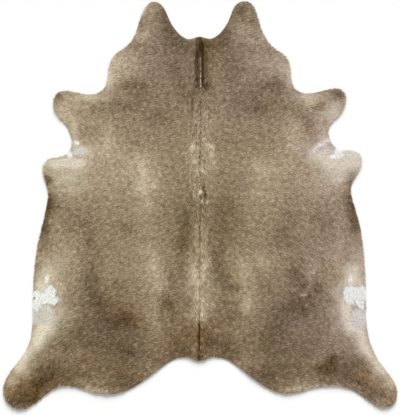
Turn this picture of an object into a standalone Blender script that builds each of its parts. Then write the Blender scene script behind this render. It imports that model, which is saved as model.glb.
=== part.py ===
"""A whole cowhide rug, lying on the floor with its hair side up.

The hide is one piece: tanned skin with the hair left on, cut raw all round, with no lining and no
binding. Metres, +Z up, +Y from the rump to the neck. The origin is on the floor, under the middle of
the hide. Places on the hide are measured from its spine line and from the middle of its length.
"""

from collections import namedtuple

import bpy
import numpy as np
from mathutils.geometry import delaunay_2d_cdt

MM = 0.001

# Thickness of the hide.
SKIN_THICKNESS = 2.2 * MM  # tanned skin
COAT_THICKNESS = 2.8 * MM  # short hair that lies down on it
RIM_SHARE = 0.72  # share of the full thickness that is left at the cut edge
RIM_TAPER = 16 * MM  # how far in from the cut edge the coat thins out

# The cut edge stands a little off the floor all round.
RIM_CURL = 3.0 * MM
RIM_CURL_REACH = 75 * MM

# Spacing of the mesh.
RIM_STEP = 17 * MM
FIELD_STEP = 60 * MM
GUIDE_STEP = 45 * MM

# Where the cut edge crosses the spine, from the middle of the length.
NAPE = 878 * MM
TAIL = -811 * MM

# The cut edge from nape to tail, in millimetres: how far each landmark lies out from the spine, and
# how far along it from the middle of the length towards the neck, on the left side and on the right.
Landmark = namedtuple("Landmark", "name left_out left_along right_out right_along")
LANDMARKS = (
    Landmark("nape dip", 53, 865, 52, 867),
    Landmark("notch slope", 118, 906, 114, 906),
    Landmark("notch rise", 163, 982, 157, 979),
    Landmark("cheek inner", 194, 1039, 187, 1042),
    Landmark("cheek tip", 237, 1059, 228, 1061),
    Landmark("cheek outer", 279, 1032, 275, 1041),
    Landmark("throat", 307, 977, 301, 986),
    Landmark("neck side", 334, 893, 336, 885),
    Landmark("neck root", 374, 833, 385, 821),
    Landmark("shoulder top", 432, 789, 434, 786),
    Landmark("shoulder point", 466, 743, 467, 742),
    Landmark("shoulder side", 480, 662, 478, 657),
    Landmark("foreleg crook", 499, 605, 499, 604),
    Landmark("foreleg root", 557, 578, 556, 582),
    Landmark("foreleg top", 682, 594, 699, 607),
    Landmark("fore toe upper", 737, 584, 744, 595),
    Landmark("fore toe", 761, 540, 762, 550),
    Landmark("fore heel", 743, 472, 733, 476),
    Landmark("foreleg under", 698, 420, 686, 424),
    Landmark("armpit upper", 668, 355, 670, 378),
    Landmark("armpit", 669, 296, 694, 316),
    Landmark("armpit lower", 704, 259, 733, 289),
    Landmark("brisket edge", 759, 247, 787, 285),
    Landmark("brisket upper", 800, 229, 830, 268),
    Landmark("brisket point", 816, 191, 845, 230),
    Landmark("brisket lower", 806, 137, 827, 176),
    Landmark("girth", 789, 66, 788, 95),
    Landmark("belly fore", 803, -39, 809, -19),
    Landmark("belly", 836, -180, 844, -170),
    Landmark("flank", 863, -394, 864, -414),
    Landmark("flank low", 868, -607, 868, -612),
    Landmark("stifle", 886, -718, 885, -709),
    Landmark("hock outer", 937, -803, 935, -813),
    Landmark("shank outer", 1003, -897, 1002, -904),
    Landmark("hind toe outer", 1021, -963, 1028, -976),
    Landmark("hind toe", 991, -1035, 1012, -1029),
    Landmark("hind toe inner", 931, -1061, 964, -1054),
    Landmark("shank inner", 850, -1025, 886, -1022),
    Landmark("hock inner", 744, -949, 775, -953),
    Landmark("rump scallop", 681, -939, 698, -939),
    Landmark("thigh lobe outer", 565, -970, 559, -959),
    Landmark("thigh lobe", 478, -983, 465, -980),
    Landmark("thigh lobe inner", 372, -961, 366, -958),
    Landmark("rump side", 227, -864, 238, -870),
    Landmark("rump", 140, -807, 150, -809),
    Landmark("tail side", 60, -790, 63, -790),
)

# Where the hide lifts off the floor, in millimetres: the middle of each rise, across from the spine
# (right is positive) and along it, with its radius and height.
Lift = namedtuple("Lift", "name across along radius height")
LIFTS = (
    Lift("left cheek", -240, 1060, 170, 6.0),
    Lift("right cheek", 230, 1062, 160, 5.0),
    Lift("nape", 0, 880, 120, 2.0),
    Lift("left shoulder", -470, 745, 130, 2.5),
    Lift("right shoulder", 468, 745, 130, 3.0),
    Lift("left fore toe", -762, 545, 190, 7.0),
    Lift("right fore toe", 762, 553, 200, 8.0),
    Lift("left brisket", -812, 195, 150, 6.0),
    Lift("right brisket", 843, 235, 160, 7.0),
    Lift("left belly", -845, -215, 190, 3.0),
    Lift("right belly", 850, -190, 180, 3.5),
    Lift("left flank", -868, -500, 150, 3.0),
    Lift("right flank", 868, -470, 160, 2.5),
    Lift("left hind toe", -985, -1020, 240, 8.0),
    Lift("right hind toe", 1000, -1015, 230, 7.0),
    Lift("left thigh lobe", -480, -985, 210, 7.0),
    Lift("right thigh lobe", 465, -982, 220, 6.0),
    Lift("rump", 0, -815, 170, 6.5),
    Lift("left rump slope", -240, -900, 150, 6.5),
    Lift("right rump slope", 250, -900, 150, 6.2),
    Lift("left hock", -715, -965, 140, 6.5),
    Lift("right hock", 705, -965, 140, 6.2),
)

# Soft ridges in the whole hide (rise above 0) and creases in its coat (rise below 0), in millimetres:
# the two ends of each, across from the spine and along it, with its half width and its rise.
Fold = namedtuple("Fold", "name from_across from_along to_across to_along half_width rise")
FOLDS = (
    Fold("neck crease", 12, 880, 15, 600, 16, -1.6),
    Fold("rump crease", 0, -560, 0, -811, 14, -2.2),
    Fold("left lengthwise mark", -262, 180, -255, -520, 55, 2.0),
    Fold("right lengthwise mark", 262, 60, 272, -560, 60, 2.0),
    Fold("left girth wrinkle", -820, 98, -690, 108, 20, 3.0),
    Fold("right girth wrinkle", 825, 140, 720, 120, 20, 2.5),
    Fold("left armpit wrinkle", -690, 300, -590, 335, 24, 2.0),
    Fold("right armpit wrinkle", 700, 320, 610, 350, 24, 2.0),
)

HAIR_COLOUR = (0.245, 0.195, 0.132, 1.0)
HAIR_ROUGHNESS = 0.62


def clear_scene():
    """Removes every object of the scene that is open."""
    for obj in list(bpy.data.objects):
        bpy.data.objects.remove(obj)


def landmark_loop():
    """The landmarks as one closed loop of points: nape, left side down, tail, right side up."""
    left = [(-row.left_out * MM, row.left_along * MM) for row in LANDMARKS]
    right = [(row.right_out * MM, row.right_along * MM) for row in LANDMARKS]
    return np.array([(0, NAPE), *left, (0, TAIL), *right[::-1]])


def closed_cubic(knots, steps):
    """A closed cubic curve through the knots with no break in its curvature.

    Its slopes at the knots solve the usual three-term system. The knots are spaced by a power of
    their distance, which keeps the curve from swinging wide where a short gap follows a long one.
    """
    count = len(knots)
    after = np.roll(knots, -1, axis=0)
    gap = np.linalg.norm(after - knots, axis=1) ** 0.75
    before_gap = np.roll(gap, 1)[:, None]
    after_gap = gap[:, None]
    place = np.arange(count)
    system = np.zeros((count, count))
    system[place, place - 1] = gap
    system[place, place] = 2 * (gap + np.roll(gap, 1))
    system[place, (place + 1) % count] = np.roll(gap, 1)
    rise = before_gap * (after - knots) / after_gap
    rise += after_gap * (knots - np.roll(knots, 1, axis=0)) / before_gap
    slope = np.linalg.solve(system, 3 * rise)
    t = np.linspace(0, 1, steps, endpoint=False)[None, :, None]
    start, end = knots[:, None], after[:, None]
    leave = (slope * after_gap)[:, None]
    arrive = (np.roll(slope, -1, axis=0) * after_gap)[:, None]
    curve = (2 * t**3 - 3 * t**2 + 1) * start + (3 * t**2 - 2 * t**3) * end
    curve += (t**3 - 2 * t**2 + t) * leave + (t**3 - t**2) * arrive
    return curve.reshape(-1, 2)


def evenly_spaced(loop, step):
    """The closed loop again, with its points about one step apart."""
    closed = np.vstack([loop, loop[:1]])
    run = np.append(0, np.cumsum(np.linalg.norm(np.diff(closed, axis=0), axis=1)))
    at = np.linspace(0, run[-1], round(run[-1] / step), endpoint=False)
    return np.stack([np.interp(at, run, closed[:, 0]), np.interp(at, run, closed[:, 1])], axis=1)


def moved_in(loop, distance):
    """The closed loop moved inwards by a distance, whichever way round it runs."""
    along = np.roll(loop, -1, axis=0) - np.roll(loop, 1, axis=0)
    along /= np.linalg.norm(along, axis=1)[:, None]
    aside = np.stack([-along[:, 1], along[:, 0]], axis=1)
    x, y = loop.T
    turn = np.sign(np.dot(x, np.roll(y, -1)) - np.dot(y, np.roll(x, -1)))
    return loop + turn * distance * aside


def rim_distance(points, rim):
    """How far each point lies from the rim, and whether it is inside it."""
    start, end = rim[None], np.roll(rim, -1, axis=0)[None]
    edge = end - start
    reach = points[:, None] - start
    share = (reach * edge).sum(axis=2) / (edge**2).sum(axis=2)
    nearest = reach - share.clip(0, 1)[..., None] * edge
    distance = np.linalg.norm(nearest, axis=2).min(axis=1)
    x, y = points[:, 0, None], points[:, 1, None]
    spans = (start[..., 1] > y) != (end[..., 1] > y)
    height = np.where(edge[..., 1] == 0, 1, edge[..., 1])
    crossing = start[..., 0] + (y - start[..., 1]) * edge[..., 0] / height
    inside = (spans & (x < crossing)).sum(axis=1) % 2 == 1
    return distance, inside


def fold_ends(fold):
    """The two ends of a fold, in metres."""
    start = np.array([fold.from_across, fold.from_along]) * MM
    end = np.array([fold.to_across, fold.to_along]) * MM
    return start, end


def fold_height(points, fold):
    """The rise of one fold: a smooth bell across it, which fades out at its two ends."""
    start, end = fold_ends(fold)
    along = end - start
    length = np.linalg.norm(along)
    reach = points - start
    share = reach @ along / length**2
    aside = (reach[:, 0] * along[1] - reach[:, 1] * along[0]) / length
    across = np.clip(1 - (aside / (fold.half_width * MM)) ** 2, 0, 1) ** 2
    past_end = np.clip(np.abs(share - 0.5) - 0.5, 0, None) * length
    fade = np.clip(1 - past_end / (fold.half_width * MM), 0, 1) ** 2
    return fold.rise * MM * across * fade


def underside(points, distance):
    """Height of the hide's underside: the curl at the rim, the lifts and the ridges, else 0."""
    height = RIM_CURL * np.clip(1 - distance / RIM_CURL_REACH, 0, 1) ** 2
    for lift in LIFTS:
        middle = np.array([lift.across, lift.along]) * MM
        share = np.linalg.norm(points - middle, axis=1) / (lift.radius * MM)
        height = height + lift.height * MM * np.clip(1 - share**2, 0, 1) ** 2
    for fold in FOLDS:
        if fold.rise > 0:
            height = height + fold_height(points, fold)
    return height


def thickness_share(points, distance):
    """Share of the full thickness: less at the cut edge and in the creases of the coat."""
    taper = np.clip(distance / RIM_TAPER, 0, 1)
    share = RIM_SHARE + (1 - RIM_SHARE) * np.sqrt(taper)
    for fold in FOLDS:
        if fold.rise < 0:
            share = share + fold_height(points, fold) / (SKIN_THICKNESS + COAT_THICKNESS)
    return share


def guide_points(fold):
    """Points along a fold: on its middle line, and beside it at half of its width and all of it."""
    start, end = fold_ends(fold)
    along = end - start
    length = np.linalg.norm(along)
    aside = np.array([-along[1], along[0]]) / length * fold.half_width * MM
    shares = np.linspace(0, 1, max(3, round(length / GUIDE_STEP)))
    middle = start + shares[:, None] * along
    return np.concatenate([middle + side * aside for side in (-1, -0.5, 0, 0.5, 1)])


def field_points(rim, taken):
    """A staggered field of points inside the rim, clear of it and of the points already taken."""
    reach = np.abs(rim).max() + FIELD_STEP
    rows = np.arange(-reach, reach, FIELD_STEP * np.sqrt(3) / 2)
    columns = np.arange(-reach, reach, FIELD_STEP)
    x, y = np.meshgrid(columns, rows)
    x = x + (np.arange(len(rows)) % 2 * FIELD_STEP / 2)[:, None]
    field = np.stack([x.ravel(), y.ravel()], axis=1)
    distance, inside = rim_distance(field, rim)
    field = field[inside & (distance > 0.8 * FIELD_STEP)]
    clear = np.linalg.norm(field[:, None] - taken[None], axis=2).min(axis=1)
    return field[clear > 0.45 * FIELD_STEP]


def hide_points(rim):
    """The points that the hide's sheet is made of, with the rim's own first."""
    bands = [moved_in(rim, RIM_TAPER), moved_in(rim, 2.6 * RIM_TAPER)[::2]]
    guides = np.concatenate([guide_points(fold) for fold in FOLDS])
    distance, inside = rim_distance(guides, rim)
    guides = guides[inside & (distance > 3 * RIM_TAPER)]
    band = np.concatenate(bands)
    apart = np.linalg.norm(guides[:, None] - band[None], axis=2).min(axis=1)
    guides = guides[apart > 0.5 * RIM_TAPER]
    taken = np.concatenate([rim, band, guides])
    return np.concatenate([taken, field_points(rim, taken)])


def hide_mesh(rim):
    """The underside of the hide as a mesh of triangles, with each point's share of the thickness."""
    outline = list(range(len(rim)))
    flat = [tuple(point) for point in hide_points(rim)]
    points, _, faces, *_ = delaunay_2d_cdt(flat, [], [outline], 1, 1e-7)
    points = np.array([tuple(point) for point in points])
    distance, _ = rim_distance(points, rim)
    height = underside(points, distance)
    middle = (rim.max(axis=0) + rim.min(axis=0)) / 2
    mesh = bpy.data.meshes.new("cowhide")
    mesh.from_pydata(np.column_stack([points - middle, height]).tolist(), [], faces)
    mesh.validate()
    return mesh, thickness_share(points, distance)


def hair_on_hide():
    """The hide's material: taupe hair, a little glossy where it lies down."""
    material = bpy.data.materials.new("hair_on_hide")
    material.use_nodes = True
    shader = material.node_tree.nodes["Principled BSDF"]
    shader.inputs["Base Color"].default_value = HAIR_COLOUR
    shader.inputs["Roughness"].default_value = HAIR_ROUGHNESS
    shader.inputs["Metallic"].default_value = 0.0
    return material


def make_cowhide():
    """The whole hide: its underside, given its thickness upwards by a Solidify modifier."""
    rim = evenly_spaced(closed_cubic(landmark_loop(), 24), RIM_STEP)
    mesh, shares = hide_mesh(rim)
    mesh.materials.append(hair_on_hide())
    hide = bpy.data.objects.new("cowhide", mesh)
    bpy.context.scene.collection.objects.link(hide)
    group = hide.vertex_groups.new(name="thickness")
    for index, share in enumerate(shares):
        group.add([index], float(share), "REPLACE")
    solidify = hide.modifiers.new("thickness", "SOLIDIFY")
    solidify.thickness = SKIN_THICKNESS + COAT_THICKNESS
    solidify.offset = 1.0
    solidify.vertex_group = group.name
    mesh.shade_smooth()
    mesh.set_sharp_from_angle(angle=np.radians(40))
    return hide


def main():
    """Clears the scene and lays the hide out in it."""
    clear_scene()
    make_cowhide()


main()
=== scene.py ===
"""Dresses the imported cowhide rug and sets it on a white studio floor, seen from straight above.

The rug is one tanned hide with its hair on. Here it becomes a sheet of skin, four layers of short hair
that lies down the way it grows on the animal, and a crest of longer hair along the spine. Places on the
hide are given in millimetres: across from the spine line (right is positive) and along it from the middle
of the hide's length (towards the neck is positive).
"""

import logging
from dataclasses import dataclass, field
from enum import Enum

import bpy
import numpy as np
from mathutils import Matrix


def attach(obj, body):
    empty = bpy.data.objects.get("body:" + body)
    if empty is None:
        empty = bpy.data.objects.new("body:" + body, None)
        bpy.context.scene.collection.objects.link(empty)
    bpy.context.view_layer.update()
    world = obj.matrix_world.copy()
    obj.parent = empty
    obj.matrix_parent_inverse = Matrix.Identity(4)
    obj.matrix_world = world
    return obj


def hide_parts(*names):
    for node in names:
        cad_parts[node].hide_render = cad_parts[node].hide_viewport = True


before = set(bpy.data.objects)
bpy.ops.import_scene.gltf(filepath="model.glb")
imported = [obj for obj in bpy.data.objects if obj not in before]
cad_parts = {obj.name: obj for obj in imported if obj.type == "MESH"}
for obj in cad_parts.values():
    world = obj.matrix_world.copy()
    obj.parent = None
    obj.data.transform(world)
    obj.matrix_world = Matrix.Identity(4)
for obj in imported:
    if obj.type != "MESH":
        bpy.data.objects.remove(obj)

log = logging.getLogger("cowhide")

MM = 0.001
SPINE_ACROSS = -3.5 * MM  # where the spine line lies in the frame, which is centred on the outline
NODE = "cowhide"
EDGE_POINTS = 720  # points of the cut edge, and so of each ring of the skin


# ---- Tables of the hide's relief ----


@dataclass(frozen=True)
class Lift:
    """A place where the hide stands off the floor, in millimetres."""

    name: str
    across: float
    along: float
    radius: float
    height: float

    def at(self, places: np.ndarray) -> np.ndarray:
        """What it adds to the height: its own times (1 - r²)², r from 0 at its middle to 1 at its edge."""
        share = ((places - (self.across, self.along)) ** 2).sum(axis=1) / self.radius**2
        return self.height * np.clip(1 - share, 0, 1) ** 2


@dataclass(frozen=True)
class Band:
    """A straight band from one point to another, in millimetres."""

    name: str
    from_across: float
    from_along: float
    to_across: float
    to_along: float
    half_width: float

    def beside(self, places: np.ndarray) -> tuple[np.ndarray, np.ndarray]:
        """Where places lie beside the band's middle line.

        Args:
            places: points, shape (n, 2), in millimetres from the hide's middle.

        Returns:
            How far aside of the line each point lies, and how far past its nearer end (below 0 before it).
        """
        start = np.array([self.from_across, self.from_along], float)
        along = np.array([self.to_across, self.to_along], float) - start
        length = np.linalg.norm(along)
        reach = places - start
        share = reach @ along / length**2
        aside = (reach[:, 0] * along[1] - reach[:, 1] * along[0]) / length
        return aside, (np.abs(share - 0.5) - 0.5) * length


@dataclass(frozen=True)
class Fold(Band):
    """A soft ridge in the hide (rise above 0) or a crease in its coat (rise below 0), in millimetres."""

    rise: float

    def at(self, places: np.ndarray) -> np.ndarray:
        """What it adds to the height: a bell (1 - u²)² across it, which fades likewise past its ends.

        Args:
            places: points, shape (n, 2), in millimetres from the hide's middle.

        Returns:
            One value for each point, in millimetres.
        """
        aside, past_end = self.beside(places)
        across = np.clip(1 - (aside / self.half_width) ** 2, 0, 1) ** 2
        return self.rise * across * np.clip(1 - past_end.clip(0) / self.half_width, 0, 1) ** 2


LIFTS = (
    Lift("left cheek", -240, 1060, 170, 6.0),
    Lift("right cheek", 230, 1062, 160, 5.0),
    Lift("nape", 0, 880, 120, 2.0),
    Lift("left shoulder", -470, 745, 130, 2.5),
    Lift("right shoulder", 468, 745, 130, 3.0),
    Lift("left fore toe", -762, 545, 190, 7.0),
    Lift("right fore toe", 762, 553, 200, 8.0),
    Lift("left brisket", -812, 195, 150, 6.0),
    Lift("right brisket", 843, 235, 160, 7.0),
    Lift("left belly", -845, -215, 190, 3.0),
    Lift("right belly", 850, -190, 180, 3.5),
    Lift("left flank", -868, -500, 150, 3.0),
    Lift("right flank", 868, -470, 160, 2.5),
    Lift("left hind toe", -985, -1020, 240, 8.0),
    Lift("right hind toe", 1000, -1015, 230, 7.0),
    Lift("left thigh lobe", -480, -985, 210, 7.0),
    Lift("right thigh lobe", 465, -982, 220, 6.0),
    Lift("rump", 0, -815, 170, 6.5),
    Lift("left rump slope", -240, -900, 150, 6.5),
    Lift("right rump slope", 250, -900, 150, 6.2),
    Lift("left hock", -715, -965, 140, 6.5),
    Lift("right hock", 705, -965, 140, 6.2),
)

FOLDS = (
    Fold("neck crease", 12, 880, 15, 600, 16, -1.4),
    Fold("rump crease", 0, -560, 0, -811, 14, -1.4),
    Fold("left lengthwise mark", -262, 180, -255, -520, 55, 2.0),
    Fold("right lengthwise mark", 262, 60, 272, -560, 60, 2.0),
    Fold("left girth wrinkle", -820, 98, -690, 108, 20, 3.0),
    Fold("right girth wrinkle", 825, 140, 720, 120, 20, 2.5),
    Fold("left armpit wrinkle", -690, 300, -590, 335, 24, 2.0),
    Fold("right armpit wrinkle", 700, 320, 610, 350, 24, 2.0),
)


# ---- Tables of the coat: which way the hair lies, and what colour it is ----


@dataclass(frozen=True)
class Lie:
    """A part of the hide where the hair turns its own way: its middle and reach, in millimetres.

    bearing is the way the tips point, in degrees outwards from the tail end of the spine line.
    """

    name: str
    across: float
    along: float
    reach: float
    bearing: float


LIES = (
    Lie("left cheek", -250, 980, 90, 84),
    Lie("right cheek", 240, 980, 90, 104),
    Lie("right neck", 330, 800, 120, 112),
    Lie("left neck", -330, 800, 120, 92),
    Lie("left shoulder", -450, 500, 70, 60),
    Lie("right shoulder", 450, 480, 70, 70),
    Lie("left foreleg", -640, 520, 80, 88),
    Lie("right foreleg", 640, 520, 80, 92),
    Lie("left fore toe", -725, 545, 60, 130),
    Lie("right fore toe", 735, 550, 60, 112),
    Lie("left elbow", -640, 420, 80, 128),
    Lie("right elbow", 640, 415, 80, 128),
    Lie("left armpit", -640, 320, 60, 116),
    Lie("right armpit", 665, 320, 60, 112),
    Lie("left brisket", -730, 190, 90, 91),
    Lie("right brisket", 740, 200, 90, 88),
    Lie("left girth", -640, 80, 90, 84),
    Lie("right girth", 600, 80, 110, 80),
    Lie("left belly", -480, -110, 190, 52),
    Lie("right belly", 540, -110, 170, 52),
    Lie("left belly edge", -790, -120, 100, 22),
    Lie("right belly edge", 790, -60, 90, 30),
    Lie("right hip", 560, -330, 130, 50),
    Lie("left flank", -770, -430, 90, 6),
    Lie("right flank", 760, -430, 80, 12),
    Lie("left stifle", -840, -620, 90, 44),
    Lie("right stifle", 840, -600, 90, 28),
    Lie("left shank", -860, -890, 130, 48),
    Lie("right shank", 880, -880, 130, 48),
    Lie("left hind toe", -950, -1030, 60, 14),
    Lie("right hind toe", 965, -1010, 60, 30),
    Lie("left thigh", -420, -760, 150, 88),
    Lie("right thigh", 480, -760, 150, 86),
)


SMALL = 38.0  # millimetres: rows narrower than this aren't pushed about by the coat's wobble


@dataclass(frozen=True)
class Patch:
    """A soft-edged oval of colour in millimetres.

    strength is what it adds at its middle, and turn is its tilt in degrees, counterclockwise.
    """

    name: str
    across: float
    along: float
    reach_across: float
    reach_along: float
    strength: float
    turn: float = 0.0

    @property
    def is_small(self) -> bool:
        """Whether it keeps its place."""
        return min(self.reach_across, self.reach_along) < SMALL

    def at(self, places: np.ndarray) -> np.ndarray:
        """What it adds: its strength times a round bell, exp(-u² - v²), in its own turned axes.

        Args:
            places: points, shape (n, 2), in millimetres from the hide's middle.

        Returns:
            One value for each point.
        """
        turn = np.radians(self.turn)
        x, y = places[:, 0] - self.across, places[:, 1] - self.along
        u = (x * np.cos(turn) + y * np.sin(turn)) / self.reach_across
        v = (y * np.cos(turn) - x * np.sin(turn)) / self.reach_along
        return self.strength * np.exp(-(u**2) - v**2)


@dataclass(frozen=True)
class Streak(Band):
    """A soft-edged band of colour, in millimetres: strength is what it adds along its middle line."""

    strength: float

    @property
    def is_small(self) -> bool:
        """Whether it keeps its place."""
        return self.half_width <= SMALL

    def at(self, places: np.ndarray) -> np.ndarray:
        """What it adds: its strength times a bell, exp(-u²), across it, which fades out over its ends.

        Args:
            places: points, shape (n, 2), in millimetres from the hide's middle.

        Returns:
            One value for each point.
        """
        aside, past_end = self.beside(places)
        # An end fades over 0.7 of the half width, and over 14 mm at least.
        end_run = max(0.7 * self.half_width, 14)
        return self.strength * np.exp(-((aside / self.half_width) ** 2)) * step_down(2 * past_end / end_run)


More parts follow.
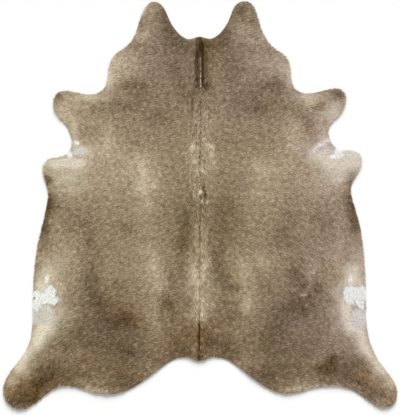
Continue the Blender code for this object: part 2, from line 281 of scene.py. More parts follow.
# How light the hair is: lighter than its middle tone above 0, darker below. From the neck to the feet. The
# rows marked so are painted shade along creases and curled edges.
TONES = (
    # Cheeks, neck and stripe.
    Patch("neck a", 0, 660, 320, 240, -0.21),
    Patch("left notch", -125, 845, 105, 55, -0.45, -25),
    Patch("right notch a", 100, 845, 105, 55, -0.5, 25),
    Patch("right cheek tip a", 215, 1020, 50, 45, -0.6),
    Patch("right cheek side", 295, 985, 30, 60, -0.25),
    Patch("left cheek side", -310, 955, 30, 40, -0.25),
    Patch("left cheek throat", -305, 875, 45, 35, 0.3),
    Patch("right cheek throat", 255, 900, 45, 60, 0.35),
    Patch("left neck root", -345, 830, 45, 25, -0.3),
    Patch("right neck root", 355, 810, 45, 30, -0.15, -30),
    Patch("left shoulder a", -430, 735, 70, 90, 0.75),
    Patch("right shoulder a", 400, 735, 80, 70, 0.5),
    Patch("right shoulder rim", 460, 670, 30, 60, 0.5),
    Patch("left shoulder rim", -470, 640, 25, 60, 0.6),
    Patch("left shoulder b", -350, 635, 60, 35, -0.5),
    Patch("right shoulder b", 375, 620, 90, 45, -0.5),
    Streak("left notch side a", -200, 1015, -145, 890, 30, -0.5),
    Streak("right notch side", 185, 985, 135, 880, 35, -0.5),
    Streak("left nape", -145, 745, -70, 550, 35, -0.3),
    Streak("right nape a", 135, 765, 220, 670, 45, -0.2),
    # Painted shade along both rims of the notch.
    Streak("left notch rim", -185, 1025, -100, 865, 23, -0.35),
    Streak("right notch rim", 170, 1025, 85, 865, 23, -0.3),
    Patch("left cheek front", -270, 925, 30, 50, 0.18),
    Patch("right cheek front", 195, 920, 35, 60, 0.28),
    Patch("left neck a", -360, 695, 95, 60, 0.22),
    Patch("right neck a", 285, 750, 50, 25, 0.25),
    Patch("right neck b", 300, 650, 75, 30, 0.18),
    Patch("right neck edge", 430, 705, 25, 40, 0.25),
    Patch("left cheek tip", -255, 1015, 30, 30, 0.3),
    Patch("right cheek inner", 180, 910, 35, 60, 0.22),
    Patch("right cheek outer", 335, 830, 35, 35, 0.28),
    Patch("left neck rim a", -350, 810, 40, 30, 0.32),
    Patch("left neck rim b", -425, 650, 30, 25, 0.22),
    Streak("stripe, left band", -12, 880, -12, 598, 15, -0.9),
    # The top line and the dark line run along the neck crease: dark hair, and painted shade of the crease.
    Streak("stripe, top line", 5, 885, 5, 800, 9, -1.1),
    Streak("stripe, dark line", 15, 850, 15, 615, 8, -1.6),
    Streak("stripe, light line", 6, 790, 6, 700, 2, 0.9),
    Streak("stripe, right band", 32, 870, 34, 605, 12, -0.45),
    Patch("stripe, foot", 38, 620, 20, 22, -0.7),
    Patch("neck b", -100, 625, 30, 40, 0.15),
    Patch("right neck middle a", 240, 745, 50, 50, 0.12),
    Patch("left neck middle", -350, 670, 50, 35, 0.12),
    Patch("right cheek tip b", 250, 1005, 30, 40, 0.2),
    Patch("left neck upper", -255, 920, 50, 75, 0.16),
    Patch("right cheek inner rim", 160, 930, 20, 45, 0.3),
    Patch("right cheek middle", 260, 850, 40, 30, 0.12),
    Patch("left cheek foot", -310, 875, 30, 15, 0.35),
    Patch("left neck throat a", -340, 765, 40, 30, 0.22),
    Patch("left neck throat b", -400, 705, 35, 25, -0.18),
    Patch("left notch side b", -205, 865, 30, 30, 0.2),
    Patch("right throat", 315, 870, 25, 35, 0.3),
    Patch("right notch b", 165, 810, 35, 25, -0.16),
    Patch("right neck middle b", 240, 660, 40, 30, 0.16),
    Patch("left neck b", -315, 620, 40, 40, 0.16),
    Patch("left neck c", -365, 660, 40, 50, -0.14),
    Patch("stripe, left of the top", -24, 838, 6, 30, 0.35),
    Patch("stripe, top", -5, 830, 25, 30, 0.25),
    Patch("left neck d", -160, 650, 40, 25, 0.1),
    Patch("right neck c", 85, 695, 75, 30, 0.08),
    # Shoulders and forelegs.
    Patch("left shoulder c", -295, 575, 60, 40, -0.4),
    Patch("left shoulder d", -415, 515, 85, 40, -0.4),
    Patch("left shoulder e", -220, 460, 60, 40, -0.3),
    Patch("right shoulder c", 325, 520, 115, 50, -0.45),
    Patch("left foreleg a", -655, 515, 135, 80, 0.5, -10),
    Patch("left foreleg heel a", -715, 455, 40, 60, 0.25),
    Patch("left foreleg root a", -555, 495, 60, 45, -0.5),
    Patch("right foreleg a", 645, 495, 125, 80, 0.55, 10),
    Patch("right foreleg root", 540, 485, 60, 45, -0.3),
    Patch("right foreleg mid", 625, 525, 35, 35, -0.35),
    # The dark toe tips are painted shade where the toes curl up, and on the right toe also reddish-brown
    # hair.
    Patch("left toe", -740, 570, 30, 25, -0.7),
    Patch("right toe a", 720, 575, 35, 25, -1.1),
    Patch("right elbow a", 580, 425, 40, 60, -0.45),
    Patch("left elbow", -570, 380, 50, 35, -0.15),
    Patch("right chest a", 485, 370, 50, 85, 0.45),
    Patch("left crook", -470, 590, 30, 35, -0.25),
    Patch("right crook a", 475, 595, 30, 30, -0.25),
    # Painted shade at the curled rim of the left toe.
    Patch("left toe rim", -735, 565, 30, 35, -0.3),
    Patch("left foreleg b", -560, 455, 85, 125, 0.16),
    Patch("left shoulder spot", -465, 390, 40, 35, 0.25),
    Patch("right crook b", 570, 550, 40, 40, 0.4),
    Patch("right elbow b", 615, 390, 45, 50, 0.3),
    Patch("right withers a", 60, 440, 55, 35, 0.22),
    Patch("left elbow rim", -665, 425, 25, 45, 0.2),
    Patch("left foreleg heel b", -715, 495, 30, 40, 0.15),
    Patch("withers low", 25, 355, 25, 40, 0.25),
    Streak("line below the stripe", -40, 590, -40, 485, 6, -0.45),
    Patch("right neck low a", 390, 590, 75, 40, 0.2),
    Patch("right nape b", 105, 560, 40, 105, 0.15),
    Patch("left foreleg c", -640, 485, 30, 30, -0.18),
    Patch("right foreleg front", 470, 445, 30, 30, 0.18),
    Patch("left foreleg root b", -545, 555, 40, 25, 0.2),
    Patch("right foreleg top", 570, 525, 30, 45, 0.32),
    Patch("right foreleg heel", 650, 450, 40, 30, 0.16),
    Patch("right neck low b", 355, 550, 40, 35, 0.15),
    Patch("right foreleg b", 660, 530, 35, 35, -0.28),
    Patch("left foot of the stripe", -20, 570, 25, 25, -0.12),
    Patch("right neck spot", 200, 560, 40, 25, -0.16),
    Patch("left shoulder low a", -455, 535, 45, 45, 0.16),
    Patch("left neck e", -270, 570, 40, 40, 0.14),
    Patch("left withers", -30, 510, 20, 45, -0.13),
    Patch("right withers b", 50, 490, 20, 40, 0.12),
    Patch("right crook c", 570, 495, 30, 20, 0.1),
    Patch("right toe b", 725, 490, 20, 25, 0.12),
    # Chest, armpits and briskets.
    Patch("left chest a", -475, 300, 80, 60, 0.65),
    Patch("left chest b", -475, 150, 135, 105, 0.35),
    Patch("right chest b", 480, 205, 210, 60, 0.35),
    Streak("left mark a", -305, 215, -285, 90, 45, 0.8),
    Streak("right mark a", 335, 215, 295, 100, 55, 0.4),
    Patch("left chest c", -305, 255, 95, 35, 0.3),
    Patch("right chest c", 135, 325, 75, 30, -0.12),
    Patch("left brisket corner", -790, 125, 25, 30, -0.6),
    Patch("right brisket corner", 785, 140, 25, 30, -0.8),
    Patch("left chest d", -235, 160, 25, 85, 0.2),
    Patch("left whorl", -38, 303, 13, 16, 1.0),
    Patch("left whorl tail", -25, 215, 20, 60, 0.4),
    Patch("right whorl", 58, 305, 20, 13, 0.9),
    Patch("right whorl tail", 65, 235, 25, 45, 0.35),
    Patch("spine spot a", 15, 184, 8, 15, 1.3, 20),
    Patch("spine dash a", 21, 92, 8, 17, -1.4),
    Patch("spine dash b", -5, 235, 5, 25, -0.6, 10),
    Streak("spine strip", 0, 495, 0, 30, 31, 0.18),
    Patch("left armpit front", -585, 265, 35, 80, 0.22),
    Patch("right elbow front", 505, 315, 45, 50, 0.22),
    Patch("spine dash c", -10, 110, 6, 26, -0.5),
    Patch("right elbow rim", 615, 325, 30, 25, 0.3),
    Patch("right back a", 395, 125, 50, 40, 0.12),
    Patch("right back b", 515, 140, 40, 30, 0.12),
    Patch("left back a", -610, 180, 30, 25, 0.15),
    Patch("left back b", -300, 220, 60, 30, 0.12),
    Patch("left elbow front", -600, 275, 30, 45, 0.18),
    Patch("right side of the spine a", 55, 290, 35, 75, 0.22),
    Patch("left side of the spine a", -50, 275, 25, 60, 0.18),
    Patch("right side of the spine low a", 50, 175, 25, 35, 0.2),
    Patch("left back c", -260, 140, 25, 25, -0.18),
    Patch("right back c", 565, 130, 40, 30, 0.15),
    Patch("left armpit a", -625, 235, 45, 40, 0.12),
    Patch("left brisket rim low", -770, 130, 30, 25, -0.2),
    Patch("left armpit b", -570, 235, 25, 25, -0.2),
    Patch("left chest e", -360, 210, 30, 40, 0.22),
    Patch("left chest f", -215, 160, 45, 35, 0.22),
    Patch("left shoulder low b", -435, 335, 40, 30, -0.16),
    Patch("right back d", 110, 175, 30, 25, -0.16),
    Patch("right back e", 410, 100, 40, 40, 0.16),
    Patch("right back f", 160, 100, 50, 25, -0.12),
    Patch("left back d", -370, 165, 50, 35, 0.15),
    Patch("right back g", 265, 100, 25, 25, 0.15),
    Patch("right shoulder d", 470, 290, 40, 30, 0.18),
    Patch("right shoulder e", 265, 175, 40, 30, -0.14),
    Patch("right armpit", 565, 225, 35, 25, -0.22),
    Patch("left brisket inner", -575, 235, 35, 25, -0.22),
    Patch("left brisket a", -775, 220, 30, 20, -0.2),
    Patch("left brisket tip a", -775, 235, 25, 15, -0.18),
    Patch("left brisket tip b", -800, 180, 15, 30, 0.12),
    Patch("left chest g", -400, 305, 30, 35, -0.12),
    Patch("right brisket", 725, 240, 35, 15, 0.12),
    # Back, girth and belly.
    Patch("right chest d", 625, 80, 125, 50, 0.4),
    Patch("right chest e", 325, 50, 105, 35, 0.25),
    Patch("left belly a", -620, -70, 85, 45, -0.3),
    Patch("left belly b", -385, -115, 55, 40, -0.4),
    Patch("left belly c", -575, -185, 30, 55, -0.4),
    Patch("right belly a", 440, -145, 60, 50, -0.4),
    Patch("right belly b", 475, -45, 40, 45, -0.3),
    Patch("right belly c", 625, -95, 70, 55, -0.28),
    Streak("back", 10, -85, 10, -275, 25, 0.25),
    Streak("left band a", -85, -15, -80, -205, 45, -0.55),
    Streak("right band a", 135, 50, 105, -140, 70, -0.45),
    Streak("left mark b", -275, 30, -260, -35, 35, 0.45),
    # These three rows are painted shade along the flank edges, where the hide curls down.
    Streak("left flank edge a", -780, 60, -815, -140, 30, -0.85),
    Streak("right flank edge", 780, 70, 815, -140, 30, -0.8),
    Patch("left flank edge b", -785, 30, 25, 60, -0.2),
    Patch("left chest h", -300, 80, 40, 55, 0.3),
    Patch("left side of the spine b", -80, -5, 45, 125, -0.24),
    Patch("left side of the spine out", -165, -110, 40, 125, -0.15),
    Patch("left side of the spine spot a", -100, -220, 30, 30, -0.35),
    Patch("right side of the spine low b", 130, -140, 85, 45, -0.2),
    Patch("right hip a", 490, -200, 55, 40, -0.15),
    # Painted shade of the faint crease along the spine.
    Streak("spine line", 5, 570, 0, -675, 5, -0.5),
    Patch("spine spot b", 4, 68, 8, 12, 2.0),
    Patch("spine spot c", 10, 22, 7, 11, 1.8),
    Patch("spine spot d", 38, 17, 6, 10, 1.2),
    Patch("spine dash d", 28, 42, 8, 30, -1.0),
    Patch("left girth a", -660, 70, 60, 35, 0.32),
    Patch("left belly rim a", -775, -60, 20, 40, 0.3),
    Patch("left side a", -270, -230, 60, 30, 0.3),
    Patch("right flank front a", 705, -245, 45, 75, 0.32),
    Streak("right side a", 740, 625, 790, -1010, 200, 0.06),
    Patch("spine dash e", 8, 45, 6, 24, -0.9),
    Patch("left side of the spine spot b", -75, -215, 30, 30, -0.3),
    Patch("left belly rim b", -810, -170, 30, 50, -0.4),
    Patch("left girth rim", -780, -40, 30, 30, -0.18),
    Patch("left back e", -215, 85, 40, 30, 0.13),
    Patch("left belly spot", -670, -120, 30, 25, -0.15),
    Patch("right side b", 160, -180, 40, 25, -0.12),
    Patch("right girth a", 730, -100, 25, 105, 0.16),
    Patch("right girth b", 690, 80, 40, 60, 0.12),
    Patch("right side c", 565, -85, 30, 40, 0.12),
    Patch("back middle", 0, -110, 40, 50, -0.15),
    Patch("left back f", -45, 0, 25, 40, -0.12),
    Patch("right hip spot", 680, -180, 25, 25, -0.18),
    Patch("right loin spot", 365, -230, 30, 25, -0.12),
    Patch("right girth spot", 730, -30, 25, 25, -0.12),
    Patch("right back low", 500, -15, 35, 25, 0.15),
    Patch("spine middle", 0, 10, 30, 30, -0.2),
    Patch("right back h", 210, -85, 30, 40, -0.12),
    Patch("left rim low", -760, -15, 25, 25, -0.15),
    Patch("left of the spine", -95, -45, 30, 45, 0.22),
    Patch("left belly low", -585, -130, 95, 35, -0.16),
    Patch("right belly rim a", 800, -210, 30, 50, -0.1),
    Patch("right back i", 165, -180, 35, 30, -0.18),
    Patch("left back g", -330, -35, 40, 45, 0.16),
    Patch("left side of the back", -280, -120, 35, 35, 0.16),
    Patch("left belly rim c", -740, -165, 25, 75, 0.16),
    Patch("left belly d", -475, -205, 40, 30, -0.14),
    Patch("right back j", 325, -25, 75, 25, 0.14),
    Patch("spine up", 20, -230, 25, 45, 0.14),
    Patch("right belly d", 445, -215, 50, 30, -0.16),
    Patch("left brisket b", -735, -10, 25, 40, -0.16),
    Patch("right hip b", 670, -220, 30, 35, -0.14),
    Patch("left back h", -40, -15, 25, 30, -0.16),
    Patch("left girth b", -520, -230, 35, 30, -0.16),
    Patch("right girth rim", 765, 80, 20, 40, -0.12),
    Patch("spine", 40, 85, 15, 35, 0.1),
    # Loin and flanks.
    Patch("left belly e", -550, -380, 70, 125, -0.5),
    Patch("left belly f", -655, -295, 50, 105, 0.2),
    Patch("left belly g", -445, -420, 50, 30, -0.25),
    Patch("right belly e", 505, -355, 45, 75, -0.5),
    Patch("right belly f", 365, -415, 60, 50, -0.15),
    Patch("right tuft", 585, -325, 25, 40, 0.3, -30),
    Patch("left loin a", -165, -510, 50, 75, -0.7),
    Patch("left thigh a", -535, -510, 60, 50, -0.35),
    Patch("right thigh a", 510, -500, 70, 55, -0.55),
    Patch("right thigh b", 615, -430, 55, 40, -0.45),
    Streak("loin", 0, -325, 0, -545, 45, 0.8),
    Streak("left band b", -100, -265, -130, -415, 40, -0.35),
    Streak("right band b", 85, -180, 110, -415, 40, -0.45),
    Streak("left mark c", -250, -275, -220, -410, 45, 0.6),
    Streak("right mark b", 215, -295, 245, -490, 45, 0.45),
    Streak("right mark c", 300, -255, 355, -325, 35, 0.35),
    Patch("right loin a", 170, -420, 70, 40, -0.42),
    Patch("right loin b", 245, -515, 30, 40, 0.5),
    Patch("left rump a", -65, -510, 35, 50, -0.3),
    Patch("loin middle a", 10, -445, 40, 25, -0.25),
    Patch("left loin b", -220, -430, 40, 35, 0.3),
    Patch("right thigh mid", 450, -545, 115, 30, -0.2),
    Patch("right loin c", 50, -395, 25, 35, 0.2),
    Patch("left flank behind", -710, -260, 40, 50, 0.25),
    Patch("left belly h", -500, -375, 40, 75, 0.2),
    Patch("left flank front a", -725, -415, 35, 45, 0.42),
    Patch("left loin low a", -50, -500, 25, 25, -0.25),
    Patch("right loin low a", 205, -440, 30, 25, -0.28),
    Patch("right loin low b", 240, -550, 30, 30, 0.2),
    Streak("left loin c", -35, -280, -40, -410, 23, 0.45),
    Patch("right flank rim top", 720, -295, 30, 30, 0.14),
    Patch("tuft a", 592, -352, 9, 10, 0.9),
    Patch("tuft b", 568, -375, 16, 10, 0.6, -30),
    Patch("tuft c", 543, -466, 16, 7, 1.1),
    Patch("tuft d", 557, -520, 8, 12, 0.6),
    Patch("tuft e", 540, -347, 12, 6, 0.5, -20),
    Patch("tuft f", 572, -477, 16, 10, -0.6),
    Patch("tuft g", 585, -524, 14, 12, -0.5),
    Patch("tuft h", 538, -415, 16, 12, -0.5),
    Patch("tuft i", 600, -440, 12, 16, -0.4),
    Patch("tuft j", 548, -550, 24, 14, -0.4),
    Patch("loin middle b", 20, -480, 30, 25, -0.2),
    Patch("loin middle c", 110, -505, 40, 30, -0.12),
    Patch("left side b", -205, -345, 25, 25, -0.18),
    Patch("right loin d", 235, -285, 45, 30, 0.25),
    Patch("left belly edge", -825, -285, 20, 25, 0.2),
    Patch("right flank beside", 710, -505, 30, 25, -0.2),
    Patch("loin middle d", 30, -305, 30, 40, 0.15),
    Patch("left side low", -310, -335, 30, 30, 0.2),
    Patch("right flank rim", 835, -330, 20, 30, -0.3),
    Patch("right flank spot", 670, -360, 25, 45, 0.2),
    Patch("left thigh b", -560, -550, 50, 35, 0.18),
    Patch("left loin d", -35, -395, 25, 30, -0.22),
    Patch("tuft k", 575, -440, 25, 25, 0.2),
    Patch("right loin e", 150, -505, 35, 30, -0.18),
    Patch("right flank front b", 625, -510, 25, 25, -0.16),
    Patch("left flank front b", -715, -490, 35, 40, -0.1),
    Patch("left flank low", -730, -540, 30, 35, -0.1),
    Patch("spine mid", 25, -325, 25, 50, 0.2),
    Patch("left back i", -180, -395, 30, 30, 0.16),
    Patch("right thigh c", 250, -555, 30, 75, 0.16),
    Patch("left flank a", -780, -345, 35, 45, 0.18),
    Patch("left belly front", -790, -275, 30, 40, 0.2),
    Patch("right flank a", 725, -335, 25, 40, 0.18),
    Patch("right side of the spine b", 35, -325, 25, 40, 0.2),
    Patch("left side of the spine c", 0, -390, 15, 30, -0.1),
    Patch("right flank b", 190, -430, 30, 25, -0.16),
    Patch("left flank b", -620, -320, 30, 30, -0.14),
    Patch("left flank c", -495, -345, 40, 45, 0.16),
    Patch("left flank d", -475, -440, 40, 30, 0.14),
    Patch("right flank c", 510, -545, 35, 25, 0.16),
    Patch("left flank e", -775, -410, 30, 40, 0.2),
    Patch("left loin e", -60, -470, 25, 40, 0.16),
    Patch("right flank d", 815, -430, 25, 40, 0.1),
    Patch("left loin f", -10, -345, 20, 40, -0.16),
    Patch("left loin mid", -100, -455, 30, 35, -0.16),
    Patch("right flank e", 555, -370, 30, 40, -0.16),
    Patch("right belly rim b", 820, -315, 20, 30, -0.12),
    Patch("right flank f", 655, -455, 25, 25, -0.1),
    Patch("left hip", -495, -370, 30, 25, -0.09),
    # Thighs and rump.
    Patch("right loin f", 150, -575, 90, 60, -0.4),
    Patch("left thigh c", -475, -630, 155, 175, -0.55),
    Patch("left thigh d", -395, -605, 75, 40, -0.65),
    Patch("left thigh e", -385, -740, 75, 40, -0.4),
    Patch("left thigh f", -645, -660, 50, 50, -0.35),
    Patch("right thigh d", 480, -640, 185, 165, -0.4),
    Patch("right thigh e", 375, -690, 75, 95, -0.35),
    Patch("left rump b", -90, -705, 105, 85, -0.5),
    Patch("right rump a", 75, -690, 105, 70, -0.6, -20),
    Patch("right rump edge", 115, -790, 75, 30, -0.4),
    Patch("right rump out", 225, -735, 105, 75, -0.15),
    # Painted shade in the rump crease.
    Streak("rump crease", -3, -640, -2, -811, 5, -1.6),
    Streak("left mark d", -240, -490, -225, -675, 30, 0.3),
    Patch("rump", 20, -580, 35, 35, 0.35),
    Patch("left thigh low", -620, -730, 135, 40, -0.3),
    Patch("left seat high", -285, -650, 125, 60, -0.2),
    Patch("left seat a", -310, -785, 185, 45, -0.22, 15),
    Patch("right seat high", 550, -765, 155, 45, -0.18),
    Patch("right rump low", 135, -760, 135, 40, -0.22, -8),
    Patch("left rump rim a", -80, -760, 50, 25, -0.25),
    Patch("left thigh g", -520, -595, 210, 115, -0.12),
    Patch("left thigh front", -670, -595, 35, 50, 0.3),
    Patch("right rump b", 100, -655, 35, 30, 0.3),
    Patch("right seat edge", 325, -750, 40, 30, -0.1),
    Patch("rump tip", 0, -775, 25, 20, -0.5),
    Patch("right thigh front", 520, -650, 50, 30, 0.2),
    Patch("left thigh spot", -410, -605, 40, 25, 0.15),
    Patch("left thigh top", -725, -700, 40, 40, -0.25),
    Patch("rump middle", 10, -575, 30, 35, 0.2),
    Patch("right seat spot top", 685, -790, 20, 25, -0.45),
    Patch("right stifle", 810, -790, 35, 35, 0.25),
    Patch("left thigh h", -435, -575, 40, 40, 0.16),
    Patch("left thigh i", -700, -750, 35, 25, -0.16),
    Patch("left seat b", -310, -700, 30, 25, -0.18),
    Patch("right thigh f", 655, -780, 35, 40, 0.16),
    Patch("right knee a", 790, -750, 30, 30, -0.1),
    Patch("left knee", -800, -735, 30, 35, -0.1),
    Patch("right thigh g", 470, -650, 30, 30, 0.14),
    Patch("left seat c", -300, -590, 40, 35, 0.16),
    # Painted shade at the thin end of the rump crease.
    Streak("rump crease, thin end", -3, -560, -3, -640, 4, -0.8),
    Patch("left of the rump crease", -21, -747, 18, 36, 0.22),
    Patch("left flank rim a", -835, -605, 30, 45, -0.2),
    Patch("rump low", 30, -750, 35, 30, -0.2),
    Patch("left thigh j", -360, -760, 30, 25, -0.2),
    Patch("left loin low b", -100, -585, 45, 45, -0.16),
    Patch("left flank f", -790, -650, 30, 35, -0.13),
    Patch("left flank rim b", -830, -580, 20, 45, -0.13),
    Patch("left rump rim b", -100, -750, 35, 20, -0.12),
    Patch("right rump rim", 105, -760, 35, 25, -0.14),
    Patch("left seat d", -590, -790, 30, 20, -0.09),
    # Seat, hems and hind feet.
    Patch("right thigh h", 685, -835, 45, 45, -0.95),
    Patch("left rump edge", -100, -795, 95, 35, -0.45),
    Patch("left seat e", -385, -930, 85, 45, -0.6),
    Patch("left seat mid", -370, -835, 115, 75, -0.45),
    Patch("left seat out", -650, -875, 115, 60, -0.5),
    Patch("right seat a", 355, -890, 85, 75, -0.65, -30),
    Patch("right seat mid", 500, -865, 115, 60, -0.4),
    Patch("right seat out", 680, -915, 75, 35, -0.5),
    Patch("left foot a", -820, -920, 75, 60, -0.4),
    Patch("left foot tip", -935, -1025, 95, 35, -0.6),
    Patch("right hock a", 790, -815, 50, 60, -0.45, 40),
    Streak("left leg", -735, -835, -945, -1010, 70, -0.7),
    Streak("right leg", 760, -875, 915, -1000, 50, -0.65),
    Streak("left hem a", -600, -955, -465, -975, 20, 0.7),
    Streak("right hem", 410, -960, 730, -940, 15, 0.5),
    Patch("left foot low", -890, -990, 115, 45, -0.25),
    Patch("left hem b", -500, -965, 85, 25, -0.25),
    Patch("right hock inner a", 825, -815, 30, 40, -0.3),
    Patch("right seat spot a", 625, -855, 40, 30, -0.35),
    Patch("right seat low a", 705, -855, 85, 35, -0.18),
    Patch("right foot", 960, -995, 60, 45, -0.35),
    Patch("left thigh rim", -215, -815, 45, 25, -0.3),
    Patch("right seat rim a", 270, -865, 40, 35, -0.3),
    Patch("left seat whole", -545, -845, 220, 85, -0.12),
    Patch("left seat f", -360, -815, 85, 30, 0.2),
    Patch("right seat rim b", 490, -910, 75, 20, 0.12),
    Patch("left hem spot", -560, -910, 35, 25, -0.2),
    Patch("right hem spot", 435, -950, 40, 20, -0.14),
    Patch("right hock inner b", 930, -865, 25, 30, 0.14),
    Patch("right hock b", 875, -855, 25, 25, -0.14),
    Patch("right seat rim c", 655, -905, 50, 25, 0.2),
    Patch("left foot inner", -780, -865, 25, 30, 0.18),
    Patch("left foot back", -955, -895, 40, 50, 0.2),
    Patch("left foot front", -890, -990, 30, 40, 0.2),
    Patch("left hem c", -430, -955, 40, 20, 0.3),
    Patch("left seat rim a", -260, -855, 35, 25, -0.16),
    Patch("right seat low b", 680, -900, 60, 25, -0.2),
    Patch("right shank", 875, -855, 35, 30, -0.2),
    Patch("left thigh k", -600, -855, 45, 30, 0.14),
    Patch("right hock end", 985, -910, 25, 30, 0.2),
    Patch("right thigh lobe rim", 425, -950, 40, 20, -0.16),
    Patch("left thigh lobe rim", -525, -950, 40, 20, -0.18),
    Patch("right knee b", 685, -795, 40, 25, 0.14),
    Patch("left heel a", -725, -905, 25, 20, -0.14),
    Patch("left hock", -930, -855, 25, 25, -0.12),
    Patch("left seat rim b", -205, -815, 40, 20, -0.1),
    Patch("right knee c", 755, -870, 45, 25, -0.1),
    Patch("right seat b", 615, -825, 25, 25, 0.16),
    Patch("right seat spot b", 685, -815, 35, 30, 0.1),
    Patch("left heel b", -795, -855, 30, 20, -0.12),
    Patch("left foot b", -905, -935, 25, 30, 0.32),
    Patch("left foot c", -855, -900, 25, 25, 0.24),
    Patch("right seat low c", 670, -880, 40, 20, -0.08),
)

# Warmer hair.
RUSTS = (
    Patch("rump", 0, -690, 165, 85, 0.6),
    Patch("left thigh", -425, -545, 95, 75, 0.4),
    Patch("left loin", -165, -535, 30, 25, 0.6),
    Patch("left foot", -870, -960, 115, 90, 0.9),
    Patch("right foot", 865, -890, 105, 45, 0.5, -40),
    Patch("right thigh spot", 680, -830, 40, 50, 0.5),
    Patch("left side of the spine", -80, -160, 30, 50, 0.4),
    Patch("left flank edge", -780, 80, 20, 125, 0.5),
    Patch("left seat", -490, -865, 235, 60, 0.3),
    Streak("stripe", 12, 870, 14, 610, 16, 1.0),
    Patch("right seat spot", 670, -840, 40, 40, 0.2),
    Patch("rump tip", 0, -655, 40, 30, 0.5),
    Patch("left thigh spot", -395, -600, 70, 40, 0.6),
    Patch("left foot inner", -855, -935, 50, 40, 0.6),
    Patch("neck top", 25, 840, 75, 25, 0.45),
    Patch("left foot heel", -725, -900, 45, 25, 0.45),
    Patch("right elbow", 740, 120, 40, 40, 0.25),
    Patch("right flank front", 835, -285, 35, 45, 0.25),
    Patch("right foot heel", 835, -900, 45, 30, 0.3),
    Patch("left seat low", -570, -810, 70, 35, 0.2),
    Patch("left flank rim", -780, 0, 15, 60, 0.45),
    Patch("right foreleg", 635, 540, 75, 25, 0.25),
    Patch("right seat low", 670, -880, 40, 20, 0.3),
    Patch("left heel inner", -800, -855, 35, 25, 0.4),
    Patch("left rump", -120, -725, 40, 35, 0.3),
    Patch("right back spot", 250, 105, 30, 30, 0.25),
    Patch("left foot outer", -910, -935, 25, 30, -0.45),
)

# Pinkish hair.
MAUVES = (
    Streak("right edge of the hide", 740, 625, 790, -1010, 239, 0.75),
    Patch("right neck", 260, 705, 270, 250, 0.8),
    Patch("left neck", -250, 780, 200, 260, 0.5),
    Patch("left side of the notch", -205, 920, 40, 80, 0.3),
    Patch("right lengthwise mark", 235, 125, 40, 60, 0.5),
    Patch("right thigh", 470, -555, 185, 230, 0.5),
    Patch("stripe, left side", -12, 755, 14, 135, 0.9),
    Patch("left brisket band", -710, 225, 70, 15, 0.45),
    Patch("right armpit arc", 615, 305, 70, 45, 0.6),
    Patch("right foreleg", 705, 550, 60, 50, 0.4),
    Patch("right thigh low", 460, -605, 75, 75, 0.35),
    Patch("right hip", 550, -220, 45, 60, 0.3),
    Patch("left side of the stripe", -100, 810, 40, 60, 0.3),
    Patch("right foot", 850, -905, 60, 30, 0.4),
    Patch("left foot", -830, -920, 75, 45, 0.8),
    Patch("left thigh low", -455, -605, 95, 55, 0.72),
    Patch("right loin low", 105, -710, 60, 45, 0.6),
    Patch("right flank front", 520, -390, 60, 50, 0.35),
    Patch("right seat rim", 315, -905, 75, 35, 0.35),
    Streak("stripe, middle", 4, 840, 5, 620, 9, 0.8),
    Patch("right shoulder top", 420, 705, 45, 80, 0.3),
    Patch("right neck root", 160, 540, 90, 45, 0.28),
    Patch("right back", 160, 30, 95, 50, 0.28),
    Patch("left notch corner", -100, 850, 55, 25, 0.25),
    Patch("right foreleg root", 615, 455, 60, 45, 0.25),
    Patch("right flank rim", 825, -490, 40, 60, 0.25),
    Patch("right knee", 730, -805, 50, 40, 0.25),
    Patch("right flank middle", 625, -285, 60, 50, 0.22),
    Patch("left foot heel", -715, -915, 45, 25, 0.35),
    Patch("neck front", -60, 745, 40, 85, 0.22),
    Patch("right crook", 520, 80, 45, 75, 0.2),
    Patch("spine low", 0, -335, 40, 105, 0.18),
    Patch("right elbow inner", 520, 315, 45, 40, 0.2),
    Patch("left crook inner", -520, 340, 45, 40, 0.2),
    Patch("left armpit", -645, 185, 45, 50, 0.2),
    Patch("right seat top", 685, -765, 30, 20, 0.35),
    Patch("left heel inner", -800, -855, 35, 25, 0.35),
    Patch("left rump", -120, -710, 45, 40, 0.25),
    Patch("right rump", 60, -720, 45, 35, 0.4),
    Patch("right seat spot", 680, -820, 30, 25, 0.3),
    Patch("left flank grey", -830, -585, 35, 35, 0.55),
    Patch("right back spot", 250, 105, 30, 30, 0.5),
)

# Greenish hair.
OLIVES = (
    Patch("back", -25, -100, 260, 285, 0.25),
    Patch("stripe, right side", 55, 745, 35, 155, 0.9),
    Patch("neck root", 395, 630, 45, 45, 0.5),
    Patch("right flank front", 690, -390, 75, 135, 0.6),
    Patch("right seat", 710, -835, 105, 45, 0.45),
    Patch("left foot tip", -935, -1010, 60, 30, 0.5),
    Patch("right of the spine", 170, -140, 135, 310, 0.3),
    Patch("left seat front", -620, -700, 70, 40, 0.35),
    Patch("right seat front", 325, -700, 60, 45, 0.35),
    Patch("left seat", -465, -810, 95, 35, 0.3),
    Patch("left hip", -465, -390, 95, 50, 0.28),
    Patch("left knee", -725, -700, 45, 40, 0.2),
    Patch("left side", -415, -180, 50, 145, 0.22),
    Patch("left loin", -100, -285, 50, 50, 0.2),
    Patch("right shoulder", 430, 535, 55, 35, 0.22),
    Patch("left thigh inner", -300, -595, 40, 105, 0.2),
    Patch("left loin front", -215, -490, 60, 50, 0.22),
    Patch("left shoulder", -155, 470, 50, 60, 0.18),
    Patch("left back", -125, 210, 40, 60, 0.18),
    Patch("right loin", 170, -535, 60, 45, 0.22),
    Patch("left seat inner", -260, -710, 50, 35, 0.2),
    Patch("right seat middle", 430, -815, 50, 30, 0.22),
    Patch("left girth", -520, 30, 85, 40, 0.15),
    Patch("left flank grey", -830, -585, 35, 35, 0.4),
)
